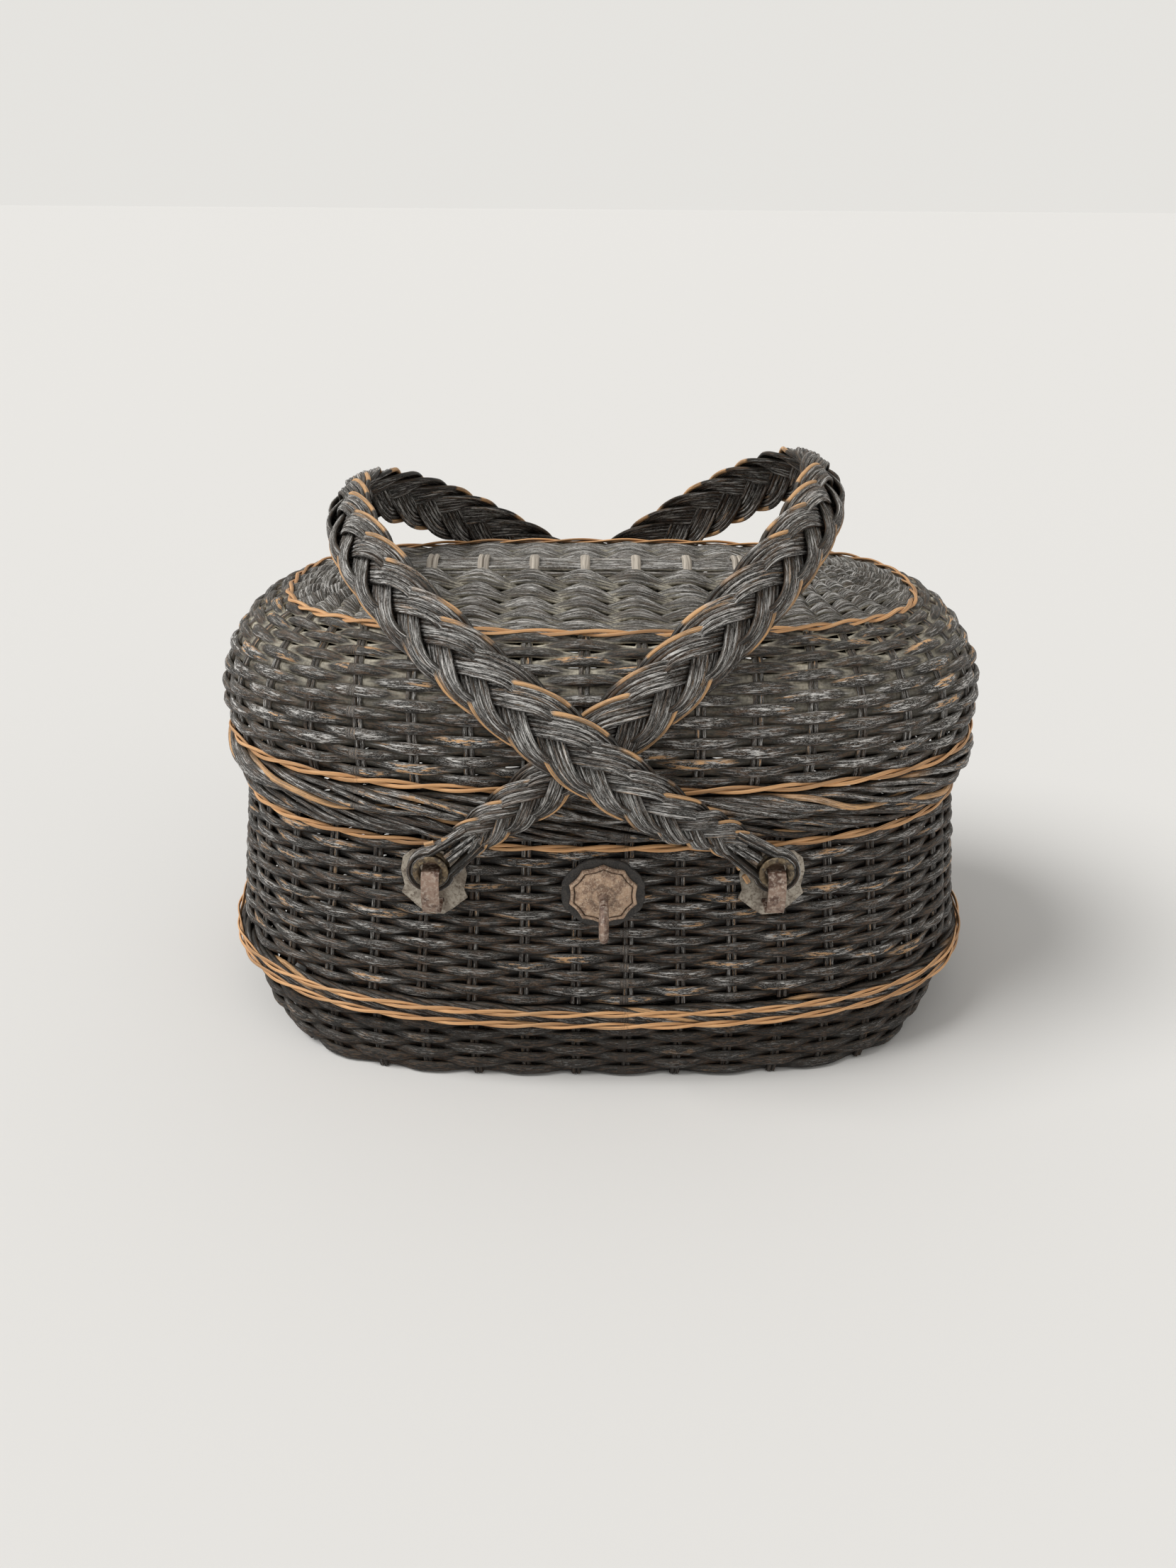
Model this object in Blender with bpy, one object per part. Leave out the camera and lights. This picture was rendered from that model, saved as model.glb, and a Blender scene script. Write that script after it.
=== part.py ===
"""A lidded wicker market basket with two plaited handles, in metres, +Z up.

The origin is under the middle of the foot, +X to the right and +Y to the back.
Every woven ring is an offset of one rounded plan, so one set of sizes drives them all.
"""

import math

import bpy
import bmesh
import numpy as np
from mathutils import Vector

MM = 0.001

# Plan and heights of the woven shell: half-widths along X, heights above the ground.
PLAN_POWER = 2.6
FOOT_POWER = 3.8
BODY_STAKES = 42
WIDTH_LESS_DEPTH = 62.7 * MM
SEAT = 0.3 * MM
FACET_SAG = 0.25 * MM
OVERRUN = 2 * MM
WALL_THICK = 4.5 * MM
WALL_LOW_HALF = 170 * MM
WALL_LEAN = 9.5 * MM
WALL_HIGH_HALF = WALL_LOW_HALF - WALL_LEAN
BAND_PROUD = 3 * MM
BAND_HALF = WALL_LOW_HALF + BAND_PROUD
FOOT_TOP_INSET = 1 * MM
FOOT_TOP_HALF = WALL_LOW_HALF - FOOT_TOP_INSET
FOOT_DRAW = 21 * MM
FOOT_HALF = FOOT_TOP_HALF - FOOT_DRAW
FOOT_DEPTH_DRAW = 0.5 * MM
FOOT_DEPTH_GAIN = FOOT_DRAW - FOOT_DEPTH_DRAW
BORDER_PROUD = 3 * MM
BORDER_HALF = WALL_HIGH_HALF + BORDER_PROUD
LID_PROUD = 4 * MM
LID_FOOT_HALF = WALL_HIGH_HALF + LID_PROUD
LID_BORDER_PROUD = 3.5 * MM
LID_BORDER_HALF = LID_FOOT_HALF + LID_BORDER_PROUD
LID_DEPTH_GAIN = -3 * MM
OVAL_INSET = 29 * MM
OVAL_HALF = LID_FOOT_HALF - OVAL_INSET
FLOOR_THICK = 5 * MM
MAT_THICK = 4 * MM
# Weave: every course passes in front of one stake and behind the next.
WEAVE_DEPTH = 2.4 * MM
BODY_COURSES = 18
LID_COURSES = 16
COURSE_START = 2 * MM
COURSE_END = 1.5 * MM
LINE_THICK = 2.6 * MM
LINE_PROUD = 1.0 * MM
BAND_LOW_Z = 28.5 * MM
BAND_HEIGHT = 10 * MM
WALL_HEIGHT = 72.2 * MM
BORDER_HEIGHT = 9 * MM
LID_BORDER_HEIGHT = 10.5 * MM
LID_RISE = 57.9 * MM
TOP_RISE = 5.7 * MM
WALL_LOW_Z = BAND_LOW_Z + BAND_HEIGHT + SEAT
WALL_TOP_Z = WALL_LOW_Z + WALL_HEIGHT
LID_BORDER_Z = WALL_TOP_Z + SEAT + BORDER_HEIGHT + SEAT
LID_FOOT_Z = LID_BORDER_Z + LID_BORDER_HEIGHT + SEAT
OVAL_Z = LID_FOOT_Z + LID_RISE
TOP_Z = OVAL_Z + TOP_RISE

# Outlines as shares of the sizes that they follow.
LID_CURVE_SHARES = ((0.0, 0.0), (0.22, -0.06), (0.48, -0.02), (0.70, 0.17), (0.88, 0.50), (1.0, 1.0))
TOP_CURVE_SHARES = ((0.40, 0.16), (0.66, 0.34), (0.86, 0.72), (1.0, 1.0))
FOOT_CURVE_SHARES = ((0.0, 1.0), (0.30, 0.52), (0.64, 0.17), (1.0, 0.0))
STRAND_SECTION_SHARES = ((1, 0), (0.55, 0.92), (-0.55, 0.92), (-1, 0), (-0.55, -0.92), (0.55, -0.92))
LINE_SECTION_SHARES = ((1, 0), (0, 1), (-1, 0), (0, -1))
ROSETTE_DOME_SHARES = ((0.86, 0.45), (0.80, 0.32), (0.52, 0.80), (0.22, 1.0))
PLATE_CORNER_SHARES = (
    (-0.62, 1.0), (0.62, 1.0), (0.92, 0.70), (1.0, 0.30), (0.90, -0.18), (1.0, -0.42), (0.80, -0.58), (0.55, -0.80),
    (0.26, -1.0), (-0.26, -1.0), (-0.55, -0.80), (-0.80, -0.58), (-1.0, -0.42), (-0.90, -0.18), (-1.0, 0.30), (-0.92, 0.70),
)

# Handles: each hinges at its own end of the basket and leans across to the other.
STAPLE_WIDTH = 7 * MM
STAPLE_PLAY = 1 * MM
EYELET_BORE = STAPLE_WIDTH / 2 + STAPLE_PLAY
EYELET_WALL = 1.1 * MM
EYELET_BARREL = EYELET_BORE + EYELET_WALL
FLANGE_PROUD = 1.5 * MM
EYELET_FLANGE = EYELET_BARREL + FLANGE_PROUD
FLANGE_THICK = 0.5 * MM
END_THICK = 5.2 * MM
END_WRAP = 4.2 * MM
END_RADIUS = EYELET_BARREL + END_WRAP
NECK_HALF_SHARE = 0.6735
NECK_HALF = END_RADIUS * NECK_HALF_SHARE
NECK_LENGTH = 8.2 * MM
NECK_REACH = END_RADIUS + NECK_LENGTH
NECK_DRAW_SHARE = 0.6
PIVOT_X = 68 * MM
PIVOT_DROP = 8.6 * MM
PIVOT_Z = WALL_TOP_Z - PIVOT_DROP
PIVOT_STAND = 9.21 * MM
INNER_FLARE = 3.2 * MM
OUTER_FLARE = 13.8 * MM
INNER_TILT = math.radians(39.5)
OUTER_TILT = math.radians(34.5)
INNER_CROWN_OVER = 40.34 * MM
OUTER_CROWN_OVER = 29.18 * MM
INNER_REACH = (TOP_Z + INNER_CROWN_OVER - PIVOT_Z) / math.sin(INNER_TILT)
OUTER_REACH = (TOP_Z + OUTER_CROWN_OVER - PIVOT_Z) / math.sin(OUTER_TILT)
FLARE_LENGTH = 38 * MM
FLARE_END = NECK_REACH + FLARE_LENGTH
CROWN_GAP = 6 * MM
CROWN_START = FLARE_END + CROWN_GAP
CROWN_POWER = 2.0
STRAND_HALF_WIDTH = 4.6 * MM
STRAND_HALF_THICK = 1.15 * MM
PLAIT_SWING_SHARE = 1.935
PLAIT_SWING = STRAND_HALF_WIDTH * PLAIT_SWING_SHARE
PLAIT_RISE_SHARE = 2.348
PLAIT_RISE = STRAND_HALF_THICK * PLAIT_RISE_SHARE
STRAND_CYCLE_SHARE = 11.739
STRAND_CYCLE = STRAND_HALF_WIDTH * STRAND_CYCLE_SHARE
PLAIT_LEAD = math.radians(5)
STRAND_STEPS = 8
TAPER_LENGTH = 100 * MM
TAPER_END_SHARE = 0.56

# Iron work.
STAPLE_THICK = 1.2 * MM
STAPLE_REACH = 7.2 * MM
STAPLE_DROP = END_RADIUS + STAPLE_REACH
STAPLE_NOSE = 4 * MM
STAPLE_TAIL = 9 * MM
MITRE_LEAST_SHARE = 0.3
PLATE_WIDTH = 27 * MM
PLATE_HEIGHT = 27 * MM
PLATE_THICK = 0.9 * MM
PLATE_STAND = 0.8 * MM
PLATE_DROP = 9.5 * MM
ROSETTE_DROP = 20.5 * MM
ROSETTE_Z = WALL_TOP_Z - ROSETTE_DROP
ROSETTE_HALF_WIDTH = 15 * MM
ROSETTE_HALF_HEIGHT = 12.6 * MM
ROSETTE_DOME = 2.4 * MM
ROSETTE_RIM = 1.1 * MM
ROSETTE_SCALLOPS = 10
SCALLOP_SHARE = 0.07
SCALLOP_POWER = 0.7
LEATHER_MARGIN = 2 * MM
LEATHER_THICK = 1.4 * MM
EYE_BAR = 1.85 * MM
EYE_REACH = 17 * MM
EYE_HALF_HEIGHT = 6.6 * MM
EYE_DROOP = math.radians(26)
EYE_ROOT_SHARE = 1.2
EYE_WIDTH_SHARE = 1.02
EYE_TURN_SHARE = 0.86

# Lid top: the lengthwise bundle of rods and the short sticks that cross it.
SLATH_INSET = 31.5 * MM
SLATH_HALF = OVAL_HALF - SLATH_INSET
SLATH_WIDTH = 15 * MM
SLATH_THICK = 3 * MM
SLATH_RODS = 5
STICK_COUNT = 9
SLATH_END = 15.6 * MM
STICK_SHIFT = -7.4 * MM
RIGHT_GAPS = 13
LEFT_GAPS = 11
STICK_PITCH = 2 * (SLATH_HALF - SLATH_END) / (STICK_COUNT - 1)
STICK_WIDTH = 5 * MM
STICK_THICK = 1.8 * MM
STICK_FOOT = 5.5 * MM
STICK_REACH = SLATH_WIDTH / 2 + STICK_FOOT
ROD_SIDE_SHARE = 0.6

STAPLE_LOW_Z = PIVOT_Z - STAPLE_DROP


def clear_scene():
    for old in list(bpy.data.objects):
        bpy.data.objects.remove(old)


def material(name, colour, roughness, metallic=0.0):
    made = bpy.data.materials.new(name)
    made.use_nodes = True
    shader = made.node_tree.nodes["Principled BSDF"]
    shader.inputs["Base Color"].default_value = (*colour, 1)
    shader.inputs["Roughness"].default_value = roughness
    shader.inputs["Metallic"].default_value = metallic
    return made


def add_object(name, verts, faces, look, parent=None, sharp=40):
    mesh = bpy.data.meshes.new(name)
    mesh.from_pydata([tuple(v) for v in verts], [], faces)
    made = bmesh.new()
    made.from_mesh(mesh)
    bmesh.ops.recalc_face_normals(made, faces=made.faces)
    made.to_mesh(mesh)
    made.free()
    mesh.shade_smooth()
    mesh.set_sharp_from_angle(angle=math.radians(sharp))
    mesh.materials.append(look)
    thing = bpy.data.objects.new(name, mesh)
    bpy.context.collection.objects.link(thing)
    thing.parent = parent
    return thing


def add_cutter(name, verts, faces):
    """A guide solid that only cuts."""
    cutter = bpy.data.objects.new(name, bpy.data.meshes.new(name))
    cutter.data.from_pydata([tuple(v) for v in verts], [], faces)
    made = bmesh.new()
    made.from_mesh(cutter.data)
    bmesh.ops.recalc_face_normals(made, faces=made.faces)
    made.to_mesh(cutter.data)
    made.free()
    bpy.context.collection.objects.link(cutter)
    cutter.hide_render = True
    cutter.display_type = "WIRE"
    return cutter


def cut(thing, cutters):
    for cutter in cutters:
        modifier = thing.modifiers.new("cut " + cutter.name, "BOOLEAN")
        modifier.operation = "DIFFERENCE"
        modifier.solver = "EXACT"
        modifier.object = cutter


def unit_plan():
    """Directions round the rounded plan, evenly spaced along the wall."""
    fine = np.linspace(0, 2 * math.pi, 4001)
    c, s = np.cos(fine), np.sin(fine)
    x = np.sign(c) * np.abs(c) ** (2 / PLAN_POWER)
    y = np.sign(s) * np.abs(s) ** (2 / PLAN_POWER)
    half_x, half_y = WALL_LOW_HALF, WALL_LOW_HALF - WIDTH_LESS_DEPTH
    run = np.concatenate([[0], np.cumsum(np.hypot(np.diff(x) * half_x, np.diff(y) * half_y))])
    at = np.linspace(0, run[-1], BODY_STAKES + 1)[:-1]
    turns = np.interp(at, run, fine)
    return np.cos(turns), np.sin(turns)


PLAN_COS, PLAN_SIN = unit_plan()


def plan_ring(half_x, z, depth_gain=0.0, power=PLAN_POWER):
    half_y = half_x - WIDTH_LESS_DEPTH + depth_gain
    across = half_x * np.sign(PLAN_COS) * np.abs(PLAN_COS) ** (2 / power)
    deep = half_y * np.sign(PLAN_SIN) * np.abs(PLAN_SIN) ** (2 / power)
    return [(float(x), float(y), z) for x, y in zip(across, deep)]


def stick_x(i):
    return STICK_SHIFT + STICK_PITCH * (i - (STICK_COUNT - 1) / 2)


def oval_ring(half_x, half_y, z):
    """A ring of the lid. Its points are where the sticks run on down the lid as stakes:
    side by side over the front and back, and fanned out round the two ends."""
    fine = np.linspace(0, math.pi / 2, 600)
    x = half_x * np.sin(fine) ** (2 / PLAN_POWER)
    y = half_y * np.cos(fine) ** (2 / PLAN_POWER)
    run = np.concatenate([[0], np.cumsum(np.hypot(np.diff(x), np.diff(y)))])
    sides = [stick_x(i) for i in range(STICK_COUNT)]
    points = [(px, -float(np.interp(abs(px), x, y)), z) for px in sides]
    for px, gaps, hand in ((sides[-1], RIGHT_GAPS, 1), (sides[0], LEFT_GAPS, -1)):
        corner = float(np.interp(abs(px), x, run))
        for at in np.linspace(corner, 2 * run[-1] - corner, gaps + 1)[1:-1]:
            along = min(at, 2 * run[-1] - at)
            front = -hand if at < run[-1] else hand
            points.append((hand * float(np.interp(along, run, x)), front * float(np.interp(along, run, y)), z))
        if hand > 0:
            points += [(px, float(np.interp(abs(px), x, y)), z) for px in reversed(sides)]
    return points


def lid_ring(half_x, z):
    return oval_ring(half_x, half_x - WIDTH_LESS_DEPTH + LID_DEPTH_GAIN, z)


def woven_ring(ring_at, half, z, slope, course):
    """One course: its points stand out where it passes a stake in front, and sink where it passes behind."""
    across = WEAVE_DEPTH / math.hypot(1, slope)
    proud, sunk = ring_at(half, z), ring_at(half - across, z + across * slope)
    return [proud[i] if (i + course) % 2 == 0 else sunk[i] for i in range(len(proud))]


def wall_y(x, z, inset=0.0):
    """How far the wall's face stands from the middle at a place on its front."""
    half_x = wall_half(z) - inset
    half_y = half_x - WIDTH_LESS_DEPTH
    return half_y * (1 - abs(x / half_x) ** PLAN_POWER) ** (1 / PLAN_POWER)


def pivot_y():
    """The handles' loops stand just off the wall."""
    return wall_y(PIVOT_X, PIVOT_Z) + PIVOT_STAND


def inner_wall_y(x, z):
    """The inside face, less what its flat facets stand in from the true curve."""
    return wall_y(abs(x) + STAPLE_WIDTH / 2, z, WALL_THICK) - FACET_SAG


def wall_half(z):
    share = (z - WALL_LOW_Z) / (WALL_TOP_Z - WALL_LOW_Z)
    return WALL_LOW_HALF + (WALL_HIGH_HALF - WALL_LOW_HALF) * share


PIVOT_Y = pivot_y()
INNER_LEG_Y = PIVOT_Y + INNER_FLARE
OUTER_LEG_Y = PIVOT_Y + OUTER_FLARE


def swept_ring(name, rings, look, sharp=40, woven=range(0)):
    """A closed hoop: the rings follow each other round its section. Between woven rings
    each cell is creased from sunk point to sunk point, so that every proud point is a hump."""
    verts = [v for ring in rings for v in ring]
    count = len(rings[0])
    faces = []
    for i in range(len(rings)):
        a, b = i * count, (i + 1) % len(rings) * count
        for j in range(count):
            k = (j + 1) % count
            if i not in woven:
                faces.append((a + j, a + k, b + k, b + j))
            elif (i - woven[0] + j) % 2 == 0:
                faces += [(a + j, a + k, b + j), (a + k, b + k, b + j)]
            else:
                faces += [(a + j, a + k, b + k), (a + j, b + k, b + j)]
    return add_object(name, verts, faces, look, sharp=sharp)


def capped_stack(name, rings, look, sharp=40):
    """A closed solid whose first and last rings are filled."""
    verts = [v for ring in rings for v in ring]
    count = len(rings[0])
    faces = []
    for i in range(len(rings) - 1):
        a, b = i * count, (i + 1) * count
        for j in range(count):
            k = (j + 1) % count
            faces.append((a + j, a + k, b + k, b + j))
    faces += [tuple(range(count)), tuple(range(len(verts) - count, len(verts)))]
    return add_object(name, verts, faces, look, sharp=sharp)


def round_hoop(name, outer_half, low_z, height, thick, look, ring_at=plan_ring):
    """A hoop of rolled rods with a rounded section, flat where it meets its neighbours."""
    rings = []
    for i in range(6):
        turn = math.pi * i / 3
        half = outer_half - thick / 2 + thick / 2 * math.cos(turn)
        z = low_z + height / 2 + height / 2 * math.sin(turn) / math.sin(math.pi / 3)
        rings.append(ring_at(half, z))
    return swept_ring(name, rings, look, sharp=60)


def line_hoop(name, half, z, look, tilt_share=0.0, ring_at=plan_ring):
    """One natural weaver pair: a slim hoop that stands a little proud of the weave."""
    rings = []
    for along, up in LINE_SECTION_SHARES:
        rings.append(ring_at(half + LINE_THICK / 2 * (along - tilt_share * up), z + LINE_THICK / 2 * up))
    return swept_ring(name, rings, look, sharp=80)


def groove_rings(half, z):
    """Where a hoop of natural weavers sits in the outside of a wall."""
    depth = LINE_THICK - LINE_PROUD + SEAT
    reach = LINE_THICK / 2 + SEAT
    return [plan_ring(half, z - reach), plan_ring(half - depth, z), plan_ring(half, z + reach)]


def build_floor_and_foot(wicker):
    """The foot draws in from the band to a smaller oval that carries the woven floor."""
    height = BAND_LOW_Z - SEAT
    outer = [foot_ring(height * up, way_in, 0.0) for up, way_in in FOOT_CURVE_SHARES]
    inner = [foot_ring(z, 1.0, WALL_THICK) for z in (0.0, FLOOR_THICK + SEAT)]
    inner += [foot_ring(height * up, way_in, WALL_THICK) for up, way_in in FOOT_CURVE_SHARES[2:]]
    swept_ring("foot_wall", outer + inner[::-1], wicker)
    rings = [foot_ring(z, 1.0, WALL_THICK + SEAT) for z in (0.0, FLOOR_THICK)]
    capped_stack("floor_mat", rings, wicker)


def foot_ring(z, way_in, inset):
    """The foot grows squarer as it draws in."""
    half = FOOT_TOP_HALF - (FOOT_TOP_HALF - FOOT_HALF) * way_in - inset
    power = PLAN_POWER + (FOOT_POWER - PLAN_POWER) * way_in
    return plan_ring(half, z, FOOT_DEPTH_GAIN * way_in, power)


def build_band(wicker, natural):
    """The lower band of twisted rods between its two natural lines."""
    low, high = BAND_LOW_Z, BAND_LOW_Z + BAND_HEIGHT
    reach = LINE_THICK / 2 + SEAT
    lines = (low + reach + LINE_PROUD / 2, high - reach - LINE_PROUD / 2)
    rings = [plan_ring(FOOT_TOP_HALF, low)]
    for z in lines:
        rings += groove_rings(BAND_HALF, z)
    rings.append(plan_ring(WALL_LOW_HALF, high))
    rings += [plan_ring(WALL_LOW_HALF - WALL_THICK, high), plan_ring(FOOT_TOP_HALF - WALL_THICK, low)]
    swept_ring("lower_band", rings, wicker)
    seat_half = BAND_HALF - LINE_THICK / 2 + LINE_PROUD
    line_hoop("lower_band_line_low", seat_half, lines[0], natural)
    line_hoop("lower_band_line_high", seat_half, lines[1], natural)


def build_wall(wicker, natural):
    """The upright wall, slotted for the staples and bored for the eye's shank."""
    line_z = WALL_TOP_Z - LINE_THICK
    slope = (WALL_HIGH_HALF - WALL_LOW_HALF) / (WALL_TOP_Z - WALL_LOW_Z)
    reach = LINE_THICK / 2 + SEAT
    depth = LINE_THICK - LINE_PROUD + SEAT
    levels = np.linspace(WALL_LOW_Z + COURSE_START, line_z - reach - COURSE_END, BODY_COURSES)
    outer = [plan_ring(WALL_LOW_HALF, WALL_LOW_Z)]
    for course, z in enumerate(levels):
        outer.append(woven_ring(plan_ring, wall_half(z), float(z), slope, course))
    woven = range(1, BODY_COURSES)
    outer.append(plan_ring(wall_half(line_z - reach), line_z - reach))
    outer.append(plan_ring(wall_half(line_z) - depth, line_z))
    outer.append(plan_ring(wall_half(line_z + reach), line_z + reach))
    if line_z + reach < WALL_TOP_Z:
        outer.append(plan_ring(WALL_HIGH_HALF, WALL_TOP_Z))
    inner = [plan_ring(WALL_HIGH_HALF - WALL_THICK, WALL_TOP_Z), plan_ring(WALL_LOW_HALF - WALL_THICK, WALL_LOW_Z)]
    wall = swept_ring("body_wall", outer + inner, wicker, woven=woven)
    line_hoop("body_line", wall_half(line_z) - LINE_THICK / 2 + LINE_PROUD, line_z, natural, -slope)
    return wall


def build_borders(wicker):
    thick = BORDER_HALF - WALL_HIGH_HALF + WALL_THICK
    round_hoop("body_border", BORDER_HALF, WALL_TOP_Z + SEAT, BORDER_HEIGHT, thick, wicker)
    thick = LID_BORDER_HALF - LID_FOOT_HALF + WALL_THICK
    round_hoop("lid_border", LID_BORDER_HALF, LID_BORDER_Z, LID_BORDER_HEIGHT, thick, wicker, lid_ring)


def lid_half(share):
    ups = [up for up, _ in LID_CURVE_SHARES]
    ins = [way_in for _, way_in in LID_CURVE_SHARES]
    return LID_FOOT_HALF - (LID_FOOT_HALF - OVAL_HALF) * float(np.interp(share, ups, ins))


def lid_course(distance, run, shares):
    """Half-width, height and slope of the lid's side at a distance up its curve."""
    rise = OVAL_Z - LID_FOOT_Z
    up = float(np.interp(distance, run, shares))
    step = shares[1] - shares[0]
    low, high = max(up - step, 0.0), min(up + step, 1.0)
    slope = (lid_half(high) - lid_half(low)) / (rise * (high - low))
    return lid_half(up), LID_FOOT_Z + rise * up, slope


def build_lid(wicker, natural):
    """The lid's wall curves in to an oval natural line, and the domed top fills the oval."""
    rise = OVAL_Z - LID_FOOT_Z
    reach = LINE_THICK / 2 + SEAT
    depth = LINE_THICK - LINE_PROUD + SEAT
    line_z = LID_FOOT_Z + LINE_THICK
    outer = [lid_ring(LID_FOOT_HALF, LID_FOOT_Z), lid_ring(LID_FOOT_HALF, line_z - reach)]
    outer += [lid_ring(LID_FOOT_HALF - depth, line_z), lid_ring(LID_FOOT_HALF, line_z + reach)]
    shares = np.linspace(0, 1, 200)
    halves = [lid_half(up) for up in shares]
    run = np.concatenate([[0], np.cumsum(np.hypot(np.diff(halves), rise * np.diff(shares)))])
    first = len(outer)
    for course, at in enumerate(np.linspace(line_z + reach + COURSE_END - LID_FOOT_Z, run[-1] - COURSE_START, LID_COURSES)):
        half, z, slope = lid_course(at, run, shares)
        outer.append(woven_ring(lid_ring, half, z, slope, course))
    outer.append(lid_ring(OVAL_HALF, OVAL_Z))
    inner = []
    for up, _ in LID_CURVE_SHARES[:-1:2]:
        inner.append(lid_ring(lid_half(up) - WALL_THICK, LID_FOOT_Z + (rise - WALL_THICK * up) * up))
    inner.append(lid_ring(OVAL_HALF - WALL_THICK, OVAL_Z))
    swept_ring("lid_wall", outer + inner[::-1], wicker, woven=range(first, first + LID_COURSES - 1))
    line_hoop("lid_line", LID_FOOT_HALF - LINE_THICK / 2 + LINE_PROUD, line_z, natural, ring_at=lid_ring)

    low = OVAL_Z + SEAT
    build_top(wicker, low)
    line_half = OVAL_HALF - LINE_THICK / 2
    line_hoop("lid_top_line", line_half, low + LINE_THICK / 2, natural, ring_at=lid_ring)


def top_size(way_in):
    """Half-width and half-depth of the lid's top on the way in from its edge to the bundle."""
    edge = OVAL_HALF - LINE_THICK - SEAT
    edge_y = edge - WIDTH_LESS_DEPTH + LID_DEPTH_GAIN
    return edge + (SLATH_HALF - edge) * way_in, edge_y + (SLATH_WIDTH / 2 - edge_y) * way_in


def build_top(wicker, low):
    """The lid's top mat: it rises in a hollow curve to the bundle, and is hollow below."""
    start = low + LINE_THICK / 2
    outer = [oval_ring(*top_size(0.0), low), oval_ring(*top_size(0.0), start)]
    for way_in, up in TOP_CURVE_SHARES:
        outer.append(oval_ring(*top_size(way_in), start + (TOP_Z - start) * up))
    under = [lid_ring(OVAL_HALF - WALL_THICK, low)]
    for way_in, up in (TOP_CURVE_SHARES[0], TOP_CURVE_SHARES[-1]):
        under.append(oval_ring(*top_size(way_in), start + (TOP_Z - start) * up - MAT_THICK))
    capped_stack("lid_top", under[::-1] + outer, wicker)


def top_z(x, y):
    """Height of the top mat at a place on it, at most: its flat facets lie a little lower."""
    start = OVAL_Z + SEAT + LINE_THICK / 2
    ways = [0.0] + [way_in for way_in, _ in TOP_CURVE_SHARES]
    ups = [0.0] + [up for _, up in TOP_CURVE_SHARES]
    low, high = 0.0, 1.0
    for _ in range(40):
        middle = (low + high) / 2
        half_x, half_y = top_size(middle)
        inside = abs(x / half_x) ** PLAN_POWER + abs(y / half_y) ** PLAN_POWER < 1
        low, high = (middle, high) if inside else (low, middle)
    return start + (TOP_Z - start) * float(np.interp(low, ways, ups))


def build_slath(wicker, pale):
    """A bundle of rods lies along the crest, tied by short sticks that arch over it."""
    low = TOP_Z + SEAT
    rod = SLATH_WIDTH / SLATH_RODS
    outline = [(SLATH_WIDTH / 2, 0.0)]
    for i in range(SLATH_RODS):
        right = SLATH_WIDTH / 2 - rod * i
        outline += [(right, SLATH_THICK * ROD_SIDE_SHARE), (right - rod / 2, SLATH_THICK)]
    outline += [(-SLATH_WIDTH / 2, SLATH_THICK * ROD_SIDE_SHARE), (-SLATH_WIDTH / 2, 0.0)]
    rings = [[(x, y, low + z) for y, z in outline] for x in (-SLATH_HALF, SLATH_HALF)]
    capped_stack("lid_slath", rings, wicker)
    for i in range(STICK_COUNT):
        stick_arch("lid_stick_%d" % (i + 1), stick_x(i), low, pale)


def stick_arch(name, x, low, look):
    """One stick: it steps up and over the bundle and down its sides onto the mat."""
    side = SLATH_WIDTH / 2 + SEAT
    over = SLATH_THICK + SEAT
    nearest = max(abs(x) - STICK_WIDTH / 2, 0.0)
    foot = top_z(nearest, STICK_REACH) - TOP_Z
    top = [(-STICK_REACH, foot), (-STICK_REACH, foot + STICK_THICK), (-side - STICK_THICK, over + STICK_THICK * ROD_SIDE_SHARE)]
    top += [(-side + STICK_THICK, over + STICK_THICK), (side - STICK_THICK, over + STICK_THICK)]
    top += [(side + STICK_THICK, over + STICK_THICK * ROD_SIDE_SHARE)]
    top += [(STICK_REACH, foot + STICK_THICK), (STICK_REACH, foot)]
    under = [(side, 0.0), (side, over), (-side, over), (-side, 0.0)]
    outline = top + under
    rings = [[(px, y, low + z) for y, z in outline] for px in (x - STICK_WIDTH / 2, x + STICK_WIDTH / 2)]
    capped_stack(name, rings, look)


def strip_outline(path, thick):
    """Both sides of a bent strip of even thickness, mitred at its bends."""
    left, right = [], []
    for i, (y, z) in enumerate(path):
        before = path[max(i - 1, 0)]
        after = path[min(i + 1, len(path) - 1)]
        d1 = Vector((y - before[0], z - before[1]))
        d2 = Vector((after[0] - y, after[1] - z))
        d1 = (d1 if d1.length else d2).normalized()
        d2 = (d2 if d2.length else d1).normalized()
        mid = (d1 + d2).normalized()
        normal = Vector((-mid.y, mid.x)) * (thick / 2 / max(mid.dot(d1), MITRE_LEAST_SHARE))
        left.append((y + normal.x, z + normal.y))
        right.append((y - normal.x, z - normal.y))
    return left + right[::-1]


def box_at(x, y1, y2, z, width, height):
    xs, zs = (x - width / 2, x + width / 2), (z - height / 2, z + height / 2)
    verts = [(px, py, pz) for px in xs for py in (y1, y2) for pz in zs]
    faces = [(0, 1, 3, 2), (4, 6, 7, 5), (0, 4, 5, 1), (2, 3, 7, 6), (0, 2, 6, 4), (1, 5, 7, 3)]
    return verts, faces


def staple_cutters(x, side, name):
    """The two slots that a staple's legs pass through, in the wall and its plate."""
    cutters = []
    for label, z in (("high", PIVOT_Z), ("low", STAPLE_LOW_Z)):
        near = inner_wall_y(x, z) - OVERRUN
        far = wall_y(x, z) + PLATE_STAND + PLATE_THICK + OVERRUN
        verts, faces = box_at(x, side * near, side * far, z, STAPLE_WIDTH + 2 * SEAT, STAPLE_THICK + 2 * SEAT)
        cutters.append(add_cutter("slot_" + label + "_" + name, verts, faces))
    return cutters


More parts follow.
